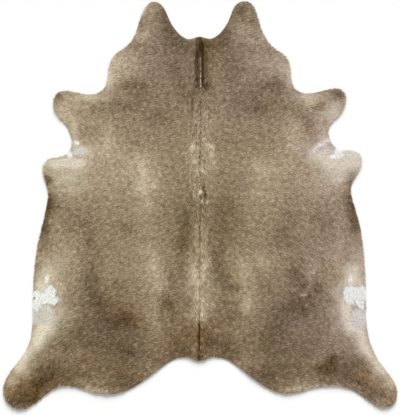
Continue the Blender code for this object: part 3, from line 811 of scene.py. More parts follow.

# Cream hair, and a painted highlight where marked.
COOLS = (
    Patch("left armpit", -625, 290, 75, 45, 0.6),
    Patch("left elbow rim", -650, 400, 20, 60, 0.45),
    Patch("left brisket band", -695, 225, 110, 25, 1.1),
    Patch("left brisket", -705, 150, 115, 60, 0.6),
    Patch("right armpit", 645, 280, 70, 45, 0.9),
    Patch("right armpit tail", 575, 230, 30, 20, 0.1),
    Patch("right brisket band", 735, 220, 115, 35, 1.05, -8),
    Patch("right brisket", 710, 165, 90, 50, 0.75),
    Patch("left flank above the white", -795, -375, 45, 55, 0.7),
    Patch("left flank beside the white", -725, -565, 45, 70, 0.45),
    Patch("left hock inner", -900, -865, 30, 40, 0.3, -38),
    Patch("right flank above the white", 790, -355, 55, 45, 0.9),
    Patch("right flank beside the white", 742, -545, 44, 85, 0.85),
    Patch("right hock inner", 915, -850, 30, 40, 0.3, 38),
    Patch("left crook", -570, 565, 80, 20, 0.5),
    Patch("right crook", 575, 560, 80, 25, 0.5),
    Patch("left shoulder rim", -475, 665, 20, 75, 0.5),
    Patch("right shoulder rim", 470, 655, 20, 75, 0.4),
    Patch("right foreleg rim", 695, 485, 35, 60, 0.6),
    Patch("right belly edge", 830, -275, 60, 85, 0.3),
    Patch("right flank rim", 855, -415, 45, 50, 0.35),
    Streak("right hock rim", 890, -775, 970, -880, 23, 0.75),
    Patch("left flank front", -755, -325, 60, 75, 0.3),
    Patch("right elbow", 650, 350, 35, 45, 0.4),
    Patch("left brisket corner", -795, 130, 25, 30, -0.4),
    Patch("right flank above the white low", 780, -420, 85, 40, 0.45),
    Patch("right hock end", 995, -915, 30, 40, 0.5),
    Patch("left flank rim", -838, -385, 18, 40, 0.25),
    Patch("left girth rim", -780, 85, 20, 25, 0.15),
    Patch("right armpit, arc a", 640, 322, 50, 12, 0.6, 22),
    Patch("right armpit, arc b", 590, 285, 16, 26, 0.1),
    Patch("right brisket rim", 782, 262, 60, 26, 1.2, -5),
    Patch("left brisket rim", -775, 175, 30, 25, 0.1),
    Patch("right flank under the white", 770, -535, 30, 40, 0.6),
    Patch("left flank rim top", -830, -425, 35, 30, 0.6),
    Streak("left thigh rim", -790, -550, -855, -740, 38, 1.2),
    Streak("left hock rim", -880, -740, -955, -860, 34, 0.95),
    Streak("right thigh rim", 815, -575, 865, -775, 38, 0.95),
    Patch("left hock end", -975, -915, 25, 35, 0.35),
    Patch("right armpit front", 555, 305, 45, 30, 0.25),
    # Painted highlight along the upper rim of the left cheek.
    Streak("left cheek rim", -275, 1035, -305, 980, 10, 0.6),
    Patch("right flank front low", 705, -550, 30, 30, 0.3),
    Patch("left girth band", -685, 85, 85, 20, 0.25),
    Patch("left flank edge of the white", -725, -470, 15, 40, 0.35),
    Patch("right flank below the grey", 780, -635, 30, 40, 0.8),
    Patch("right stifle rim", 880, -770, 20, 35, 0.35),
    Patch("left brisket inner", -645, 205, 50, 30, 0.35),
    Patch("right flank front rim", 835, -265, 25, 50, 0.1),
    Patch("left stifle inner", -770, -650, 30, 45, 0.45),
    Patch("left brisket front", -750, 205, 40, 25, 0.25),
    Patch("right brisket tip", 820, 225, 30, 25, 0.4),
    Patch("right armpit middle", 730, 230, 45, 20, 0.35),
    Patch("right flank edge of the grey", 845, -555, 20, 40, 0.3),
)

# White hair.
WHITES = (
    Patch("left flank, right lobe", -768, -466, 38, 52, 1.0),
    Patch("left flank, left lobe", -826, -474, 50, 40, 1.1, -12),
    Patch("left flank, point", -850, -518, 22, 32, 1.0),
    Patch("left flank, spot", -795, -380, 10, 20, 1.0),
    Patch("right flank, left lobe", 782, -466, 36, 50, 1.1),
    Patch("right flank, right lobe", 838, -470, 42, 48, 1.1),
    Patch("right flank, point", 845, -520, 10, 20, 0.9),
    Patch("right flank, spot", 785, -380, 10, 20, 1.0),
    Patch("left armpit, spot", -675, 260, 15, 20, 1.0, 30),
    Patch("left armpit, rim", -640, 325, 15, 10, 0.9, -25),
    Patch("right armpit, bow", 728, 276, 24, 26, 1.3, 30),
    Patch("right armpit, bow end", 700, 252, 22, 11, 1.2),
)

# Grey hair.
GREYS = (
    Patch("left flank", -826, -570, 58, 56, 1.2),
    Patch("right flank", 835, -582, 48, 46, 1.6),
    Patch("left armpit", -625, 285, 40, 30, 1.0),
    Patch("right brisket rim", 782, 266, 60, 25, 0.55, -5),
    Patch("right armpit", 670, 295, 35, 20, 0.5, 20),
    Streak("stripe, light line", 6, 712, 5, 596, 2.2, 1.0),
)

# The brightest of the white hair.
BRIGHTS = (
    Patch("right armpit, bow", 724, 283, 22, 18, 0.85, 20),
    Patch("right armpit, bow end", 698, 252, 26, 10, 0.7),
    Patch("right brisket rim", 786, 266, 50, 18, 0.3, -6),
    Streak("right armpit, arc a", 672, 338, 616, 308, 10, 0.4),
    Streak("right armpit, arc b", 616, 308, 580, 268, 10, 0.4),
    Patch("left armpit, spot", -672, 262, 12, 14, 0.6),
    Patch("left armpit, rim", -640, 326, 12, 9, 0.5, -25),
    Patch("left armpit", -625, 285, 40, 22, 0.12),
    Patch("right flank grey", 830, -565, 35, 45, 0.2),
)


# ---- Small helpers ----


def linear(hex_colour: str) -> tuple[float, float, float, float]:
    """Turns an sRGB hex colour into the linear colour that a socket takes, by the sRGB curve.

    Args:
        hex_colour: the colour as "#rrggbb".

    Returns:
        Linear red, green and blue, and an alpha of 1.
    """
    channels = np.array([int(hex_colour[i : i + 2], 16) for i in (1, 3, 5)]) / 255
    low, high = channels / 12.92, ((channels + 0.055) / 1.055) ** 2.4
    return (*np.where(channels <= 0.04045, low, high).tolist(), 1.0)


class Blend(Enum):
    """How one colour goes over another in a Mix node."""

    COVER = "MIX"
    TINT = "MULTIPLY"

    @property
    def settings(self) -> dict[str, str]:
        """The settings of a Mix node that blends colours in this way."""
        return {"data_type": "RGBA", "blend_type": self.value}


SHARE, UNDER, OVER, BLENDED = 0, 6, 7, 2  # the sockets of a Mix node that blends colours
NO_TINT = (1.0, 1.0, 1.0, 1.0)


def add_node(
    tree: bpy.types.NodeTree,
    kind: str,
    settings: dict[str, object] | None = None,
    inputs: dict[str | int, object] | None = None,
) -> bpy.types.Node:
    """Adds one node with its settings, its constants and its incoming links.

    Args:
        tree: the node tree.
        kind: the node's type.
        settings: attributes of the node itself.
        inputs: what each socket takes, by its name or number: a constant, or another node's output.

    Returns:
        The new node.
    """
    node = tree.nodes.new(kind)
    for name, value in (settings or {}).items():
        setattr(node, name, value)
    for name, source in (inputs or {}).items():
        if isinstance(source, bpy.types.NodeSocket):
            tree.links.new(source, node.inputs[name])
        else:
            node.inputs[name].default_value = source
    return node


def add_surface(
    tree: bpy.types.NodeTree,
    colour: bpy.types.NodeSocket,
    pattern: bpy.types.NodeSocket,
    roughness: tuple[float, float],
    relief: tuple[float, float],
    constants: dict[str, float],
) -> None:
    """Adds the shader and the output, with the gloss and the relief that one pattern gives.

    Args:
        tree: the node tree.
        colour: the surface's colour.
        pattern: the pattern, from 0 to 1.
        roughness: how rough the surface is at either end of the pattern.
        relief: how strongly the pattern shows as relief, and how deep that is in metres.
        constants: what other sockets of the shader take.
    """
    strength, depth = relief
    bump = {"Height": pattern, "Strength": strength, "Distance": depth}
    normal = add_node(tree, "ShaderNodeBump", inputs=bump).outputs[0]
    low, high = roughness
    ends = {"Value": pattern, "To Min": low, "To Max": high}
    gloss = add_node(tree, "ShaderNodeMapRange", inputs=ends).outputs[0]
    inputs = {"Base Color": colour, "Roughness": gloss, "Normal": normal, **constants}
    shader = add_node(tree, "ShaderNodeBsdfPrincipled", inputs=inputs)
    add_node(tree, "ShaderNodeOutputMaterial", inputs={0: shader.outputs[0]})


def new_tree(name: str) -> tuple[bpy.types.Material, bpy.types.NodeTree]:
    """Makes a material with an empty node tree.

    Args:
        name: the material's name.

    Returns:
        The material and its tree.
    """
    material = bpy.data.materials.new(name)
    material.use_nodes = True
    material.node_tree.nodes.clear()
    return material, material.node_tree


def new_object(name: str, mesh: bpy.types.Mesh, material: bpy.types.Material) -> bpy.types.Object:
    """Puts a mesh into the scene as an object at the origin.

    Args:
        name: the object's name.
        mesh: its mesh, already in its place.
        material: its only material.

    Returns:
        The object.
    """
    mesh.materials.append(material)
    piece = bpy.data.objects.new(name, mesh)
    bpy.context.scene.collection.objects.link(piece)
    return piece


def triangle_mesh(name: str, places: np.ndarray, triangles: np.ndarray, smooth: bool) -> bpy.types.Mesh:
    """Makes a mesh from whole arrays.

    Args:
        name: the mesh's name.
        places: the places of its corners, shape (n, 3), in metres.
        triangles: corner numbers, shape (m, 3), counterclockwise seen from outside.
        smooth: whether the shading is smooth.

    Returns:
        The mesh.
    """
    mesh = bpy.data.meshes.new(name)
    mesh.vertices.add(len(places))
    mesh.vertices.foreach_set("co", places.astype(np.float32).ravel())
    mesh.loops.add(3 * len(triangles))
    mesh.loops.foreach_set("vertex_index", triangles.astype(np.int32).ravel())
    mesh.polygons.add(len(triangles))
    mesh.polygons.foreach_set("loop_start", np.arange(0, 3 * len(triangles), 3, dtype=np.int32))
    mesh.polygons.foreach_set("use_smooth", np.full(len(triangles), smooth))
    mesh.update(calc_edges=True)
    return mesh


def step_down(values: np.ndarray) -> np.ndarray:
    """A smooth step from 1, well below 0, down to 0, well above it: 1 / (1 + exp(x))."""
    return 1 / (1 + np.exp(np.clip(values, -30, 30)))


def put_colours(mesh: bpy.types.Mesh, name: str, values: np.ndarray) -> None:
    """Stores four numbers for each place of a mesh as the attribute of that name."""
    layer = mesh.attributes.new(name, "FLOAT_COLOR", "POINT")
    layer.data.foreach_set("color", values.astype(np.float32).ravel())


def put_map(mesh: bpy.types.Mesh, name: str, places: np.ndarray, triangles: np.ndarray) -> None:
    """Stores a UV map that is given for each place of a mesh, under that name."""
    layer = mesh.uv_layers.new(name=name)
    layer.data.foreach_set("uv", places[triangles.ravel()].astype(np.float32).ravel())


NOISE_WAVES = 11  # sine waves in each octave
NOISE_FADE = 0.55  # strength of an octave against the one before
NOISE_PACES = (0.7, 1.4)  # spread of the waves' lengths within an octave


def smooth_noise(places: np.ndarray, wavelength: float, seed: int, octaves: int) -> np.ndarray:
    """Soft unevenness with no grid in it.

    A sum of sine waves, spread evenly over all directions, each octave half as long and about half as
    strong as the one before, scaled so that its spread is 1.

    Args:
        places: points, shape (n, 2), in metres.
        wavelength: typical length of the longest waves, in metres.
        seed: seed of the waves.
        octaves: how many octaves.

    Returns:
        One value for each point.
    """
    random = np.random.default_rng(seed)
    waves = NOISE_WAVES
    total = np.zeros(len(places))
    power = 0.0
    for octave in range(octaves):
        strength = NOISE_FADE**octave
        bearing = np.pi / waves * (np.arange(waves) + random.uniform(0, 1, waves))
        pace = 2 * np.pi / wavelength * 2**octave * random.uniform(*NOISE_PACES, waves)
        start = random.uniform(0, 2 * np.pi, waves)
        phase = places[:, :1] * (pace * np.cos(bearing)) + places[:, 1:] * (pace * np.sin(bearing))
        total += strength * np.sin(phase + start).sum(axis=1)
        power += strength**2 * waves / 2
    return total / np.sqrt(power)


# ---- The hide's outline and relief ----


@dataclass
class Outline:
    """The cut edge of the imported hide, as one closed loop, with a chart of the distance to it."""

    rim: np.ndarray
    chart_step: float = 6 * MM
    chart_margin: float = 40 * MM
    chunk: int = 4000  # how many places are measured at once
    corner: np.ndarray = field(init=False)
    chart: np.ndarray = field(init=False)

    def __post_init__(self) -> None:
        """Works out the chart."""
        low = self.rim.min(axis=0) - self.chart_margin
        high = self.rim.max(axis=0) + self.chart_margin
        counts = np.ceil((high - low) / self.chart_step).astype(int) + 1
        self.corner = low
        x = low[0] + np.arange(counts[0]) * self.chart_step
        y = low[1] + np.arange(counts[1]) * self.chart_step
        grid = np.stack(np.meshgrid(x, y, indexing="ij"), axis=-1).reshape(-1, 2)
        chunks = np.array_split(grid, max(1, len(grid) // self.chunk))
        self.chart = np.concatenate([self._exact(part) for part in chunks]).reshape(counts)

    def _exact(self, places: np.ndarray) -> np.ndarray:
        """Distance of places to the loop, measured against each of its edges.

        Args:
            places: points, shape (n, 2), in metres.

        Returns:
            The distance of each: above 0 inside, where a ray towards +X crosses the loop an odd number
            of times, and below 0 outside.
        """
        start, end = self.rim[None], np.roll(self.rim, -1, axis=0)[None]
        edge = end - start
        reach = places[:, None] - start
        share = (reach * edge).sum(axis=2) / (edge**2).sum(axis=2)
        off = reach - share.clip(0, 1)[..., None] * edge
        distance = np.sqrt((off**2).sum(axis=2).min(axis=1))
        x, y = places[:, 0, None], places[:, 1, None]
        spans = (start[..., 1] > y) != (end[..., 1] > y)
        rise = np.where(edge[..., 1] == 0, 1, edge[..., 1])
        crossing = start[..., 0] + (y - start[..., 1]) * edge[..., 0] / rise
        inside = (spans & (x < crossing)).sum(axis=1) % 2 == 1
        return np.where(inside, distance, -distance)

    @classmethod
    def of_node(cls, node: bpy.types.Object, count: int) -> "Outline":
        """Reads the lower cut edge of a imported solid.

        Its corners are those that the solid's wall shares with its underside. They are sorted by their
        bearing from the middle, which sees the whole edge, and joined by a smooth closed curve.

        Args:
            node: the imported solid.
            count: how many points the loop gets.

        Returns:
            The outline, counterclockwise from +X.
        """
        mesh = node.data
        mesh.calc_loop_triangles()
        places = np.empty(3 * len(mesh.vertices), np.float32)
        mesh.vertices.foreach_get("co", places)
        corners = np.empty(3 * len(mesh.loop_triangles), np.int32)
        mesh.loop_triangles.foreach_get("vertices", corners)
        places = places.reshape(-1, 3).astype(float)
        corners = corners.reshape(-1, 3)
        # The solid's facets are loose: corners that agree to 0.01 mm are one.
        unique, which = np.unique(np.round(places, 5), axis=0, return_inverse=True)
        corners = which.reshape(-1)[corners]
        a, b, c = (unique[corners[:, i]] for i in range(3))
        normal = np.cross(b - a, c - a)
        up = normal[:, 2] / np.linalg.norm(normal, axis=1)
        level = 0.5  # a facet is part of the wall when its normal rises less than this
        shared = np.intersect1d(corners[np.abs(up) < level], corners[up < -level])
        knots = unique[shared, :2]
        knots = knots[np.argsort(np.arctan2(knots[:, 1], knots[:, 0]))]
        return cls(cls._evenly(cls._curved(knots, steps=6), count))

    @staticmethod
    def _curved(knots: np.ndarray, steps: int) -> np.ndarray:
        """A closed curve through knots: cubic between them, with the slope of its two neighbours at each.

        Args:
            knots: points, shape (n, 2).
            steps: how many points of the curve each knot gets.

        Returns:
            The curve's points.
        """
        after, before = np.roll(knots, -1, axis=0), np.roll(knots, 1, axis=0)
        slope = (after - before) / 2
        t = np.linspace(0, 1, steps, endpoint=False)[None, :, None]
        curve = (2 * t**3 - 3 * t**2 + 1) * knots[:, None] + (3 * t**2 - 2 * t**3) * after[:, None]
        curve += (t**3 - 2 * t**2 + t) * slope[:, None]
        curve += (t**3 - t**2) * np.roll(slope, -1, axis=0)[:, None]
        return curve.reshape(-1, 2)

    @staticmethod
    def _evenly(loop: np.ndarray, count: int) -> np.ndarray:
        """A closed loop again, with its points at even distances.

        Args:
            loop: points, shape (n, 2).
            count: how many points the new loop gets.

        Returns:
            The new loop's points, from the same first one.
        """
        closed = np.vstack([loop, loop[:1]])
        run = np.append(0, np.cumsum(np.linalg.norm(np.diff(closed, axis=0), axis=1)))
        at = np.linspace(0, run[-1], count, endpoint=False)
        return np.stack([np.interp(at, run, closed[:, i]) for i in range(2)], axis=1)

    def distance(self, places: np.ndarray) -> np.ndarray:
        """Distance to the cut edge, read from the chart by two-way interpolation.

        Args:
            places: points, shape (n, 2), in metres.

        Returns:
            The distance of each, above 0 inside the outline.
        """
        spot = (places - self.corner) / self.chart_step
        # Kept just inside the chart's last cell.
        spot = np.clip(spot, 0, np.array(self.chart.shape) - 1.001)
        cell = spot.astype(int)
        i, j = cell.T
        u, v = (spot - cell).T
        lower = self.chart[i, j] * (1 - u) + self.chart[i + 1, j] * u
        upper = self.chart[i, j + 1] * (1 - u) + self.chart[i + 1, j + 1] * u
        return lower * (1 - v) + upper * v

    def outward(self) -> np.ndarray:
        """Unit direction away from the hide at each point of the loop.

        Returns:
            Directions, shape (n, 2).
        """
        along = np.roll(self.rim, -1, axis=0) - np.roll(self.rim, 1, axis=0)
        along /= np.linalg.norm(along, axis=1)[:, None]
        return np.stack([along[:, 1], -along[:, 0]], axis=1)


@dataclass
class Relief:
    """How high the hide lies off the floor, and how thick its skin is."""

    outline: Outline
    skin_thickness: float = 2.3 * MM
    curl: float = 3.0 * MM
    curl_reach: float = 75 * MM

    def underside(self, places: np.ndarray) -> np.ndarray:
        """Height of the underside: the curl at the cut edge, the lifts and the ridges, else 0.

        Args:
            places: points, shape (n, 2), in metres.

        Returns:
            The height of each.
        """
        distance = self.outline.distance(places)
        height = self.curl * np.clip(1 - distance / self.curl_reach, 0, 1) ** 2
        from_spine = (places - (SPINE_ACROSS, 0)) / MM
        ridges = [fold for fold in FOLDS if fold.rise > 0]
        return height + MM * sum(row.at(from_spine) for row in (*LIFTS, *ridges))

    def top(self, places: np.ndarray) -> np.ndarray:
        """Height of the skin's hair side, with the creases of the coat pressed into it.

        Args:
            places: points, shape (n, 2), in metres.

        Returns:
            The height of each.
        """
        from_spine = (places - (SPINE_ACROSS, 0)) / MM
        creases = [fold for fold in FOLDS if fold.rise < 0]
        height = self.underside(places) + self.skin_thickness
        return height + MM * sum(row.at(from_spine) for row in creases)


# ---- The coat: lie and colour ----


@dataclass
class HairLie:
    """Which way the hair's tips point: back along the spine, and more and more outwards beside it."""

    side_bearing: float = 84.0
    side_reach: float = 75 * MM
    pull: float = 5.0  # how strongly a row of LIES draws the hair, against 1 for the rest
    sway: float = 6.0
    sway_wavelength: float = 150 * MM
    sway_seed: int = 31

    def direction(self, places: np.ndarray) -> np.ndarray:
        """Unit direction of the tips.

        The bearing from the tail rises with the distance from the spine, as the hyperbolic tangent of
        its square. Each row of LIES draws it towards its own bearing by a soft round weight. A slow
        noise sways it.

        Args:
            places: points, shape (n, 2), in metres.

        Returns:
            Directions, shape (n, 2).
        """
        across, along = (places - (SPINE_ACROSS, 0)).T
        bearing = self.side_bearing * np.tanh((across / self.side_reach) ** 2)
        total = np.ones(len(places))
        for row in LIES:
            off = (across - row.across * MM) ** 2 + (along - row.along * MM) ** 2
            weight = self.pull * np.exp(-off / (row.reach * MM) ** 2)
            bearing = bearing + weight * row.bearing
            total = total + weight
        turn = np.radians(bearing / total) * np.sign(across)
        noise = smooth_noise(places, self.sway_wavelength, self.sway_seed, octaves=3)
        turn = turn + np.radians(self.sway) * noise
        return np.stack([np.sin(turn), -np.cos(turn)], axis=1)


class Mask(Enum):
    """What each table of patches colours, in the order of TABLES."""

    TONE = "tone"
    RUST = "rust"
    MAUVE = "mauve"
    OLIVE = "olive"
    COOL = "cool"
    WHITE = "white"
    GREY = "grey"
    BRIGHT = "bright"


TABLES = dict(zip(Mask, (TONES, RUSTS, MAUVES, OLIVES, COOLS, WHITES, GREYS, BRIGHTS), strict=True))


@dataclass(frozen=True)
class Mottle:
    """One soft unevenness of the coat: how strong it is, how long its waves are, and their seed."""

    strength: float
    wavelength: float
    seed: int


@dataclass(frozen=True)
class RaggedEdge:
    """How the edge of a mask is cut: where, how much a noise breaks it up, and how sharp it is."""

    threshold: float
    noise_share: float
    sharpness: float
    noise_onset: float = 8.0  # the noise works where the mask is well above 0, from about 1 / 8

    def cut(self, mask: np.ndarray, noise: np.ndarray) -> np.ndarray:
        """A mask from 0 to 1 with that edge."""
        broken = mask + self.noise_share * noise * np.clip(mask * self.noise_onset, 0, 1)
        return np.clip((broken - self.threshold) * self.sharpness, 0, 1)


@dataclass
class CoatColour:
    """How light the coat is at a place, and how much of each tint it has."""

    outline: Outline
    lie: HairLie
    wobble: float = 11 * MM
    wobble_wavelength: float = 170 * MM
    wobble_seeds: tuple[int, int] = (1, 2)
    tone_span: float = 1.6
    blotches: Mottle = Mottle(0.05, 62 * MM, 12)
    locks: Mottle = Mottle(0.10, 13 * MM, 13)
    lock_run: float = 14 * MM
    lock_steps: int = 7
    clouds: Mottle = Mottle(0.12, 36 * MM, 14)
    fray: Mottle = Mottle(0.10, 24 * MM, 11)
    white_edge: RaggedEdge = RaggedEdge(threshold=0.40, noise_share=0.6, sharpness=7.0)
    grey_edge: RaggedEdge = RaggedEdge(threshold=0.25, noise_share=1.0, sharpness=2.2)
    white_tint: float = 0.4  # how much of its tint white hair shows
    rim_cool: float = 0.12
    rim_reach: float = 47 * MM
    rim_from: float = 80 * MM  # the rim is paler from here towards the neck, in full after rim_ramp
    rim_ramp: float = 310 * MM
    cool_jitter: float = 0.25

    def masks(self, places: np.ndarray) -> dict[Mask, np.ndarray]:
        """Adds up the tables at some places.

        The places are first pushed about by a slow noise, so that no edge is a clean oval. Small
        patches and narrow streaks keep their places.

        Args:
            places: points, shape (n, 2), in metres.

        Returns:
            One array for each mask.
        """
        from_spine = (places - (SPINE_ACROSS, 0)) / MM
        push = [smooth_noise(places, self.wobble_wavelength, seed, octaves=3) for seed in self.wobble_seeds]
        pushed = from_spine + np.stack([self.wobble / MM * part for part in push], axis=1)
        return {
            mask: sum(row.at(from_spine if row.is_small else pushed) for row in rows)
            for mask, rows in TABLES.items()
        }

    @staticmethod
    def _uneven(places: np.ndarray, mottle: Mottle) -> np.ndarray:
        """One unevenness at some places."""
        return mottle.strength * smooth_noise(places, mottle.wavelength, mottle.seed, octaves=2)

    def _combed(self, places: np.ndarray) -> np.ndarray:
        """The unevenness of the locks, drawn out along the lie of the hair.

        Args:
            places: points, shape (n, 2), in metres.

        Returns:
            The mean of the noise over a short run along the hair, scaled to the spread it should have.
        """
        direction = self.lie.direction(places)
        steps = np.linspace(-0.5, 0.5, self.lock_steps) * self.lock_run
        wavelength, seed = self.locks.wavelength, self.locks.seed
        total = sum(smooth_noise(places + step * direction, wavelength, seed, octaves=1) for step in steps)
        return self.locks.strength * (total / total.std())

    def at(self, places: np.ndarray, jitter: np.ndarray) -> tuple[np.ndarray, np.ndarray]:
        """The two sets of four numbers that the coat's material reads.

        Args:
            places: points, shape (n, 2), in metres.
            jitter: what to add to the tone at each point.

        Returns:
            (tone from 0 to 1, rust, mauve, olive) and (cool, white, grey, bright).
        """
        masks = self.masks(places)
        mottle = self._uneven(places, self.blotches)
        mottle += self._combed(places)
        mottle += self._uneven(places, self.clouds)
        tone = np.clip((masks[Mask.TONE] + mottle + jitter) / self.tone_span / 2 + 0.5, 0, 1)
        near_rim = np.clip(1 - self.outline.distance(places) / self.rim_reach, 0, 1) ** 1.5
        front = np.clip((places[:, 1] - self.rim_from) / self.rim_ramp, 0, 1)
        rim = self.rim_cool * near_rim * front
        cool = np.clip(masks[Mask.COOL] + rim + self.cool_jitter * jitter, 0, 1)
        fray = self._uneven(places, self.fray)
        white = self.white_edge.cut(masks[Mask.WHITE], fray)
        grey = self.grey_edge.cut(masks[Mask.GREY], fray)
        bright = np.clip(masks[Mask.BRIGHT], 0, 1)
        shown = 1 - (1 - self.white_tint) * white
        tints = [np.clip(masks[mask], 0, 1) * shown for mask in (Mask.RUST, Mask.MAUVE, Mask.OLIVE)]
        return np.stack([tone, *tints], axis=1), np.stack([cool, white, grey, bright], axis=1)


# ---- Finishes ----


@dataclass(frozen=True)
class CoatShades:
    """Colours of the hair from its darkest tone to its lightest, and of its tints."""

    # All but the darkest shades, and the cool, grey and white ones, are a little lighter than the hair:
    # they hold the sheen that the low specular leaves out, as painted sheen.
    tones: tuple[tuple[float, str], ...] = (
        (-1.4, "#3a260b"),
        (-1.0, "#5b4c32"),
        (-0.5, "#78664e"),
        (0.0, "#9c896f"),
        (0.5, "#baa98e"),
        (1.0, "#d5c7ac"),
        (1.4, "#e4dac0"),
    )
    rust: str = "#fff0cf"
    mauve: str = "#f4efff"
    olive: str = "#f6f8e4"
    cool: str = "#e7dec6"
    white: str = "#ecefe8"
    grey: str = "#d9d5c9"
    bright: str = "#ffffff"

    def add(self, tree: bpy.types.NodeTree, tone_span: float) -> bpy.types.NodeSocket:
        """Adds the nodes that turn the coat's numbers into its colour.

        The tone runs through a ramp. The cool, grey and white shades cover it, the three tints multiply
        that, and the brightest shade covers them all.

        Args:
            tree: the node tree of the material.
            tone_span: the tone that the stored number 1 stands for.

        Returns:
            The socket with the colour.
        """
        coat = add_node(tree, "ShaderNodeAttribute", {"attribute_name": "coat"})
        pale = add_node(tree, "ShaderNodeAttribute", {"attribute_name": "pale"})
        tints = add_node(tree, "ShaderNodeSeparateColor", inputs={0: coat.outputs["Color"]})
        covers = add_node(tree, "ShaderNodeSeparateColor", inputs={0: pale.outputs["Color"]})
        ramp = add_node(tree, "ShaderNodeValToRGB", inputs={0: tints.outputs[0]})
        stops = ramp.color_ramp.elements
        for number, (tone, shade) in enumerate(self.tones):
            place = tone / tone_span / 2 + 0.5
            # A new ramp already has two stops.
            stop = stops[number] if number < 2 else stops.new(place)
            stop.position, stop.color = place, linear(shade)
        colour = ramp.outputs["Color"]
        steps = (
            (Blend.COVER, covers.outputs[0], self.cool),
            (Blend.COVER, covers.outputs[2], self.grey),
            (Blend.COVER, covers.outputs[1], self.white),
            (Blend.TINT, tints.outputs[1], self.rust),
            (Blend.TINT, tints.outputs[2], self.mauve),
            (Blend.TINT, coat.outputs["Alpha"], self.olive),
            (Blend.COVER, pale.outputs["Alpha"], self.bright),
        )
        for blend, share, shade in steps:
            inputs = {SHARE: share, UNDER: colour, OVER: linear(shade)}
            colour = add_node(tree, "ShaderNodeMix", blend.settings, inputs).outputs[BLENDED]
        return colour


@dataclass(frozen=True)
class HairFinish:
    """Cattle hair, combed and lying down: matt with a soft sheen, and painted shade at the roots between
    the locks.
    """

    shades: CoatShades
    tone_span: float
    name: str = "cattle hair, combed"
    # the colour of the painted shade at the roots of the locks
    root_painted_shade: str = "#e2dcd4"
    root_reach: float = 0.35
    hairs_across: float = 8.0  # waves of the drawn hairs across a lock, and along it
    hairs_along: float = 1.4
    hair_shades: tuple[float, float] = (0.9, 1.08)
    hair_relief: tuple[float, float] = (0.25, 0.4 * MM)
    roughness: tuple[float, float] = (0.54, 0.70)
    # Kept low: part of the sheen is painted into the coat's shades.
    specular: float = 0.06
    sheen: float = 0.08
    sheen_roughness: float = 0.5

    def material(self) -> bpy.types.Material:
        """Builds the material: the coat's colour, with fine hairs drawn and raised along each lock.

        Returns:
            The material.
        """
        material, tree = new_tree(self.name)
        strand = add_node(tree, "ShaderNodeUVMap", {"uv_map": "strand"}).outputs[0]
        # Single hairs are 0.05 mm thick, too fine to show: drawn about ten times as coarse.
        counts = (self.hairs_across, self.hairs_along, 1.0)
        spread = add_node(tree, "ShaderNodeMapping", inputs={"Vector": strand, "Scale": counts})
        hairs = add_node(
            tree,
            "ShaderNodeTexNoise",
            {"noise_dimensions": "2D"},
            {"Vector": spread.outputs[0], "Scale": 1.0, "Detail": 2.0, "Roughness": 0.6},
        ).outputs[0]
        colour = self._colour(tree, strand, hairs)
        constants = {
            "Specular IOR Level": self.specular,
            "Sheen Weight": self.sheen,
            "Sheen Roughness": self.sheen_roughness,
        }
        add_surface(tree, colour, hairs, self.roughness, self.hair_relief, constants)
        return material

    def _colour(
        self, tree: bpy.types.NodeTree, strand: bpy.types.NodeSocket, hairs: bpy.types.NodeSocket
    ) -> bpy.types.NodeSocket:
        """Adds the colour: that of the coat, with painted shade at the roots, lighter or darker from hair
        to hair.

        Args:
            tree: the node tree.
            strand: the map along each lock, 0 at its root and 1 at its tip.
            hairs: the pattern of the single hairs, from 0 to 1.

        Returns:
            The socket with the colour.
        """
        run = add_node(tree, "ShaderNodeSeparateXYZ", inputs={0: strand}).outputs["Y"]
        lit = add_node(tree, "ShaderNodeMapRange", inputs={"Value": run, "From Max": self.root_reach})
        pale = add_node(tree, "ShaderNodeAttribute", {"attribute_name": "pale"})
        covers = add_node(tree, "ShaderNodeSeparateColor", inputs={0: pale.outputs["Color"]})
        # Painted shade darkens the roots, but not those of white hair, which lets the light through.
        lit = add_node(
            tree, "ShaderNodeMath", {"operation": "MAXIMUM"}, {0: lit.outputs[0], 1: covers.outputs[1]}
        )
        root = add_node(
            tree,
            "ShaderNodeMix",
            Blend.COVER.settings,
            {SHARE: lit.outputs[0], UNDER: linear(self.root_painted_shade), OVER: NO_TINT},
        )
        dark, light = self.hair_shades
        shade = add_node(
            tree,
            "ShaderNodeMapRange",
            inputs={"Value": hairs, "From Min": 0.3, "From Max": 0.7, "To Min": dark, "To Max": light},
        )
        grain = add_node(tree, "ShaderNodeCombineColor", inputs={i: shade.outputs[0] for i in range(3)})
        colour = self.shades.add(tree, self.tone_span)
        for tint in (root.outputs[BLENDED], grain.outputs[0]):
            inputs = {SHARE: 1.0, UNDER: colour, OVER: tint}
            colour = add_node(tree, "ShaderNodeMix", Blend.TINT.settings, inputs).outputs[BLENDED]
        return colour


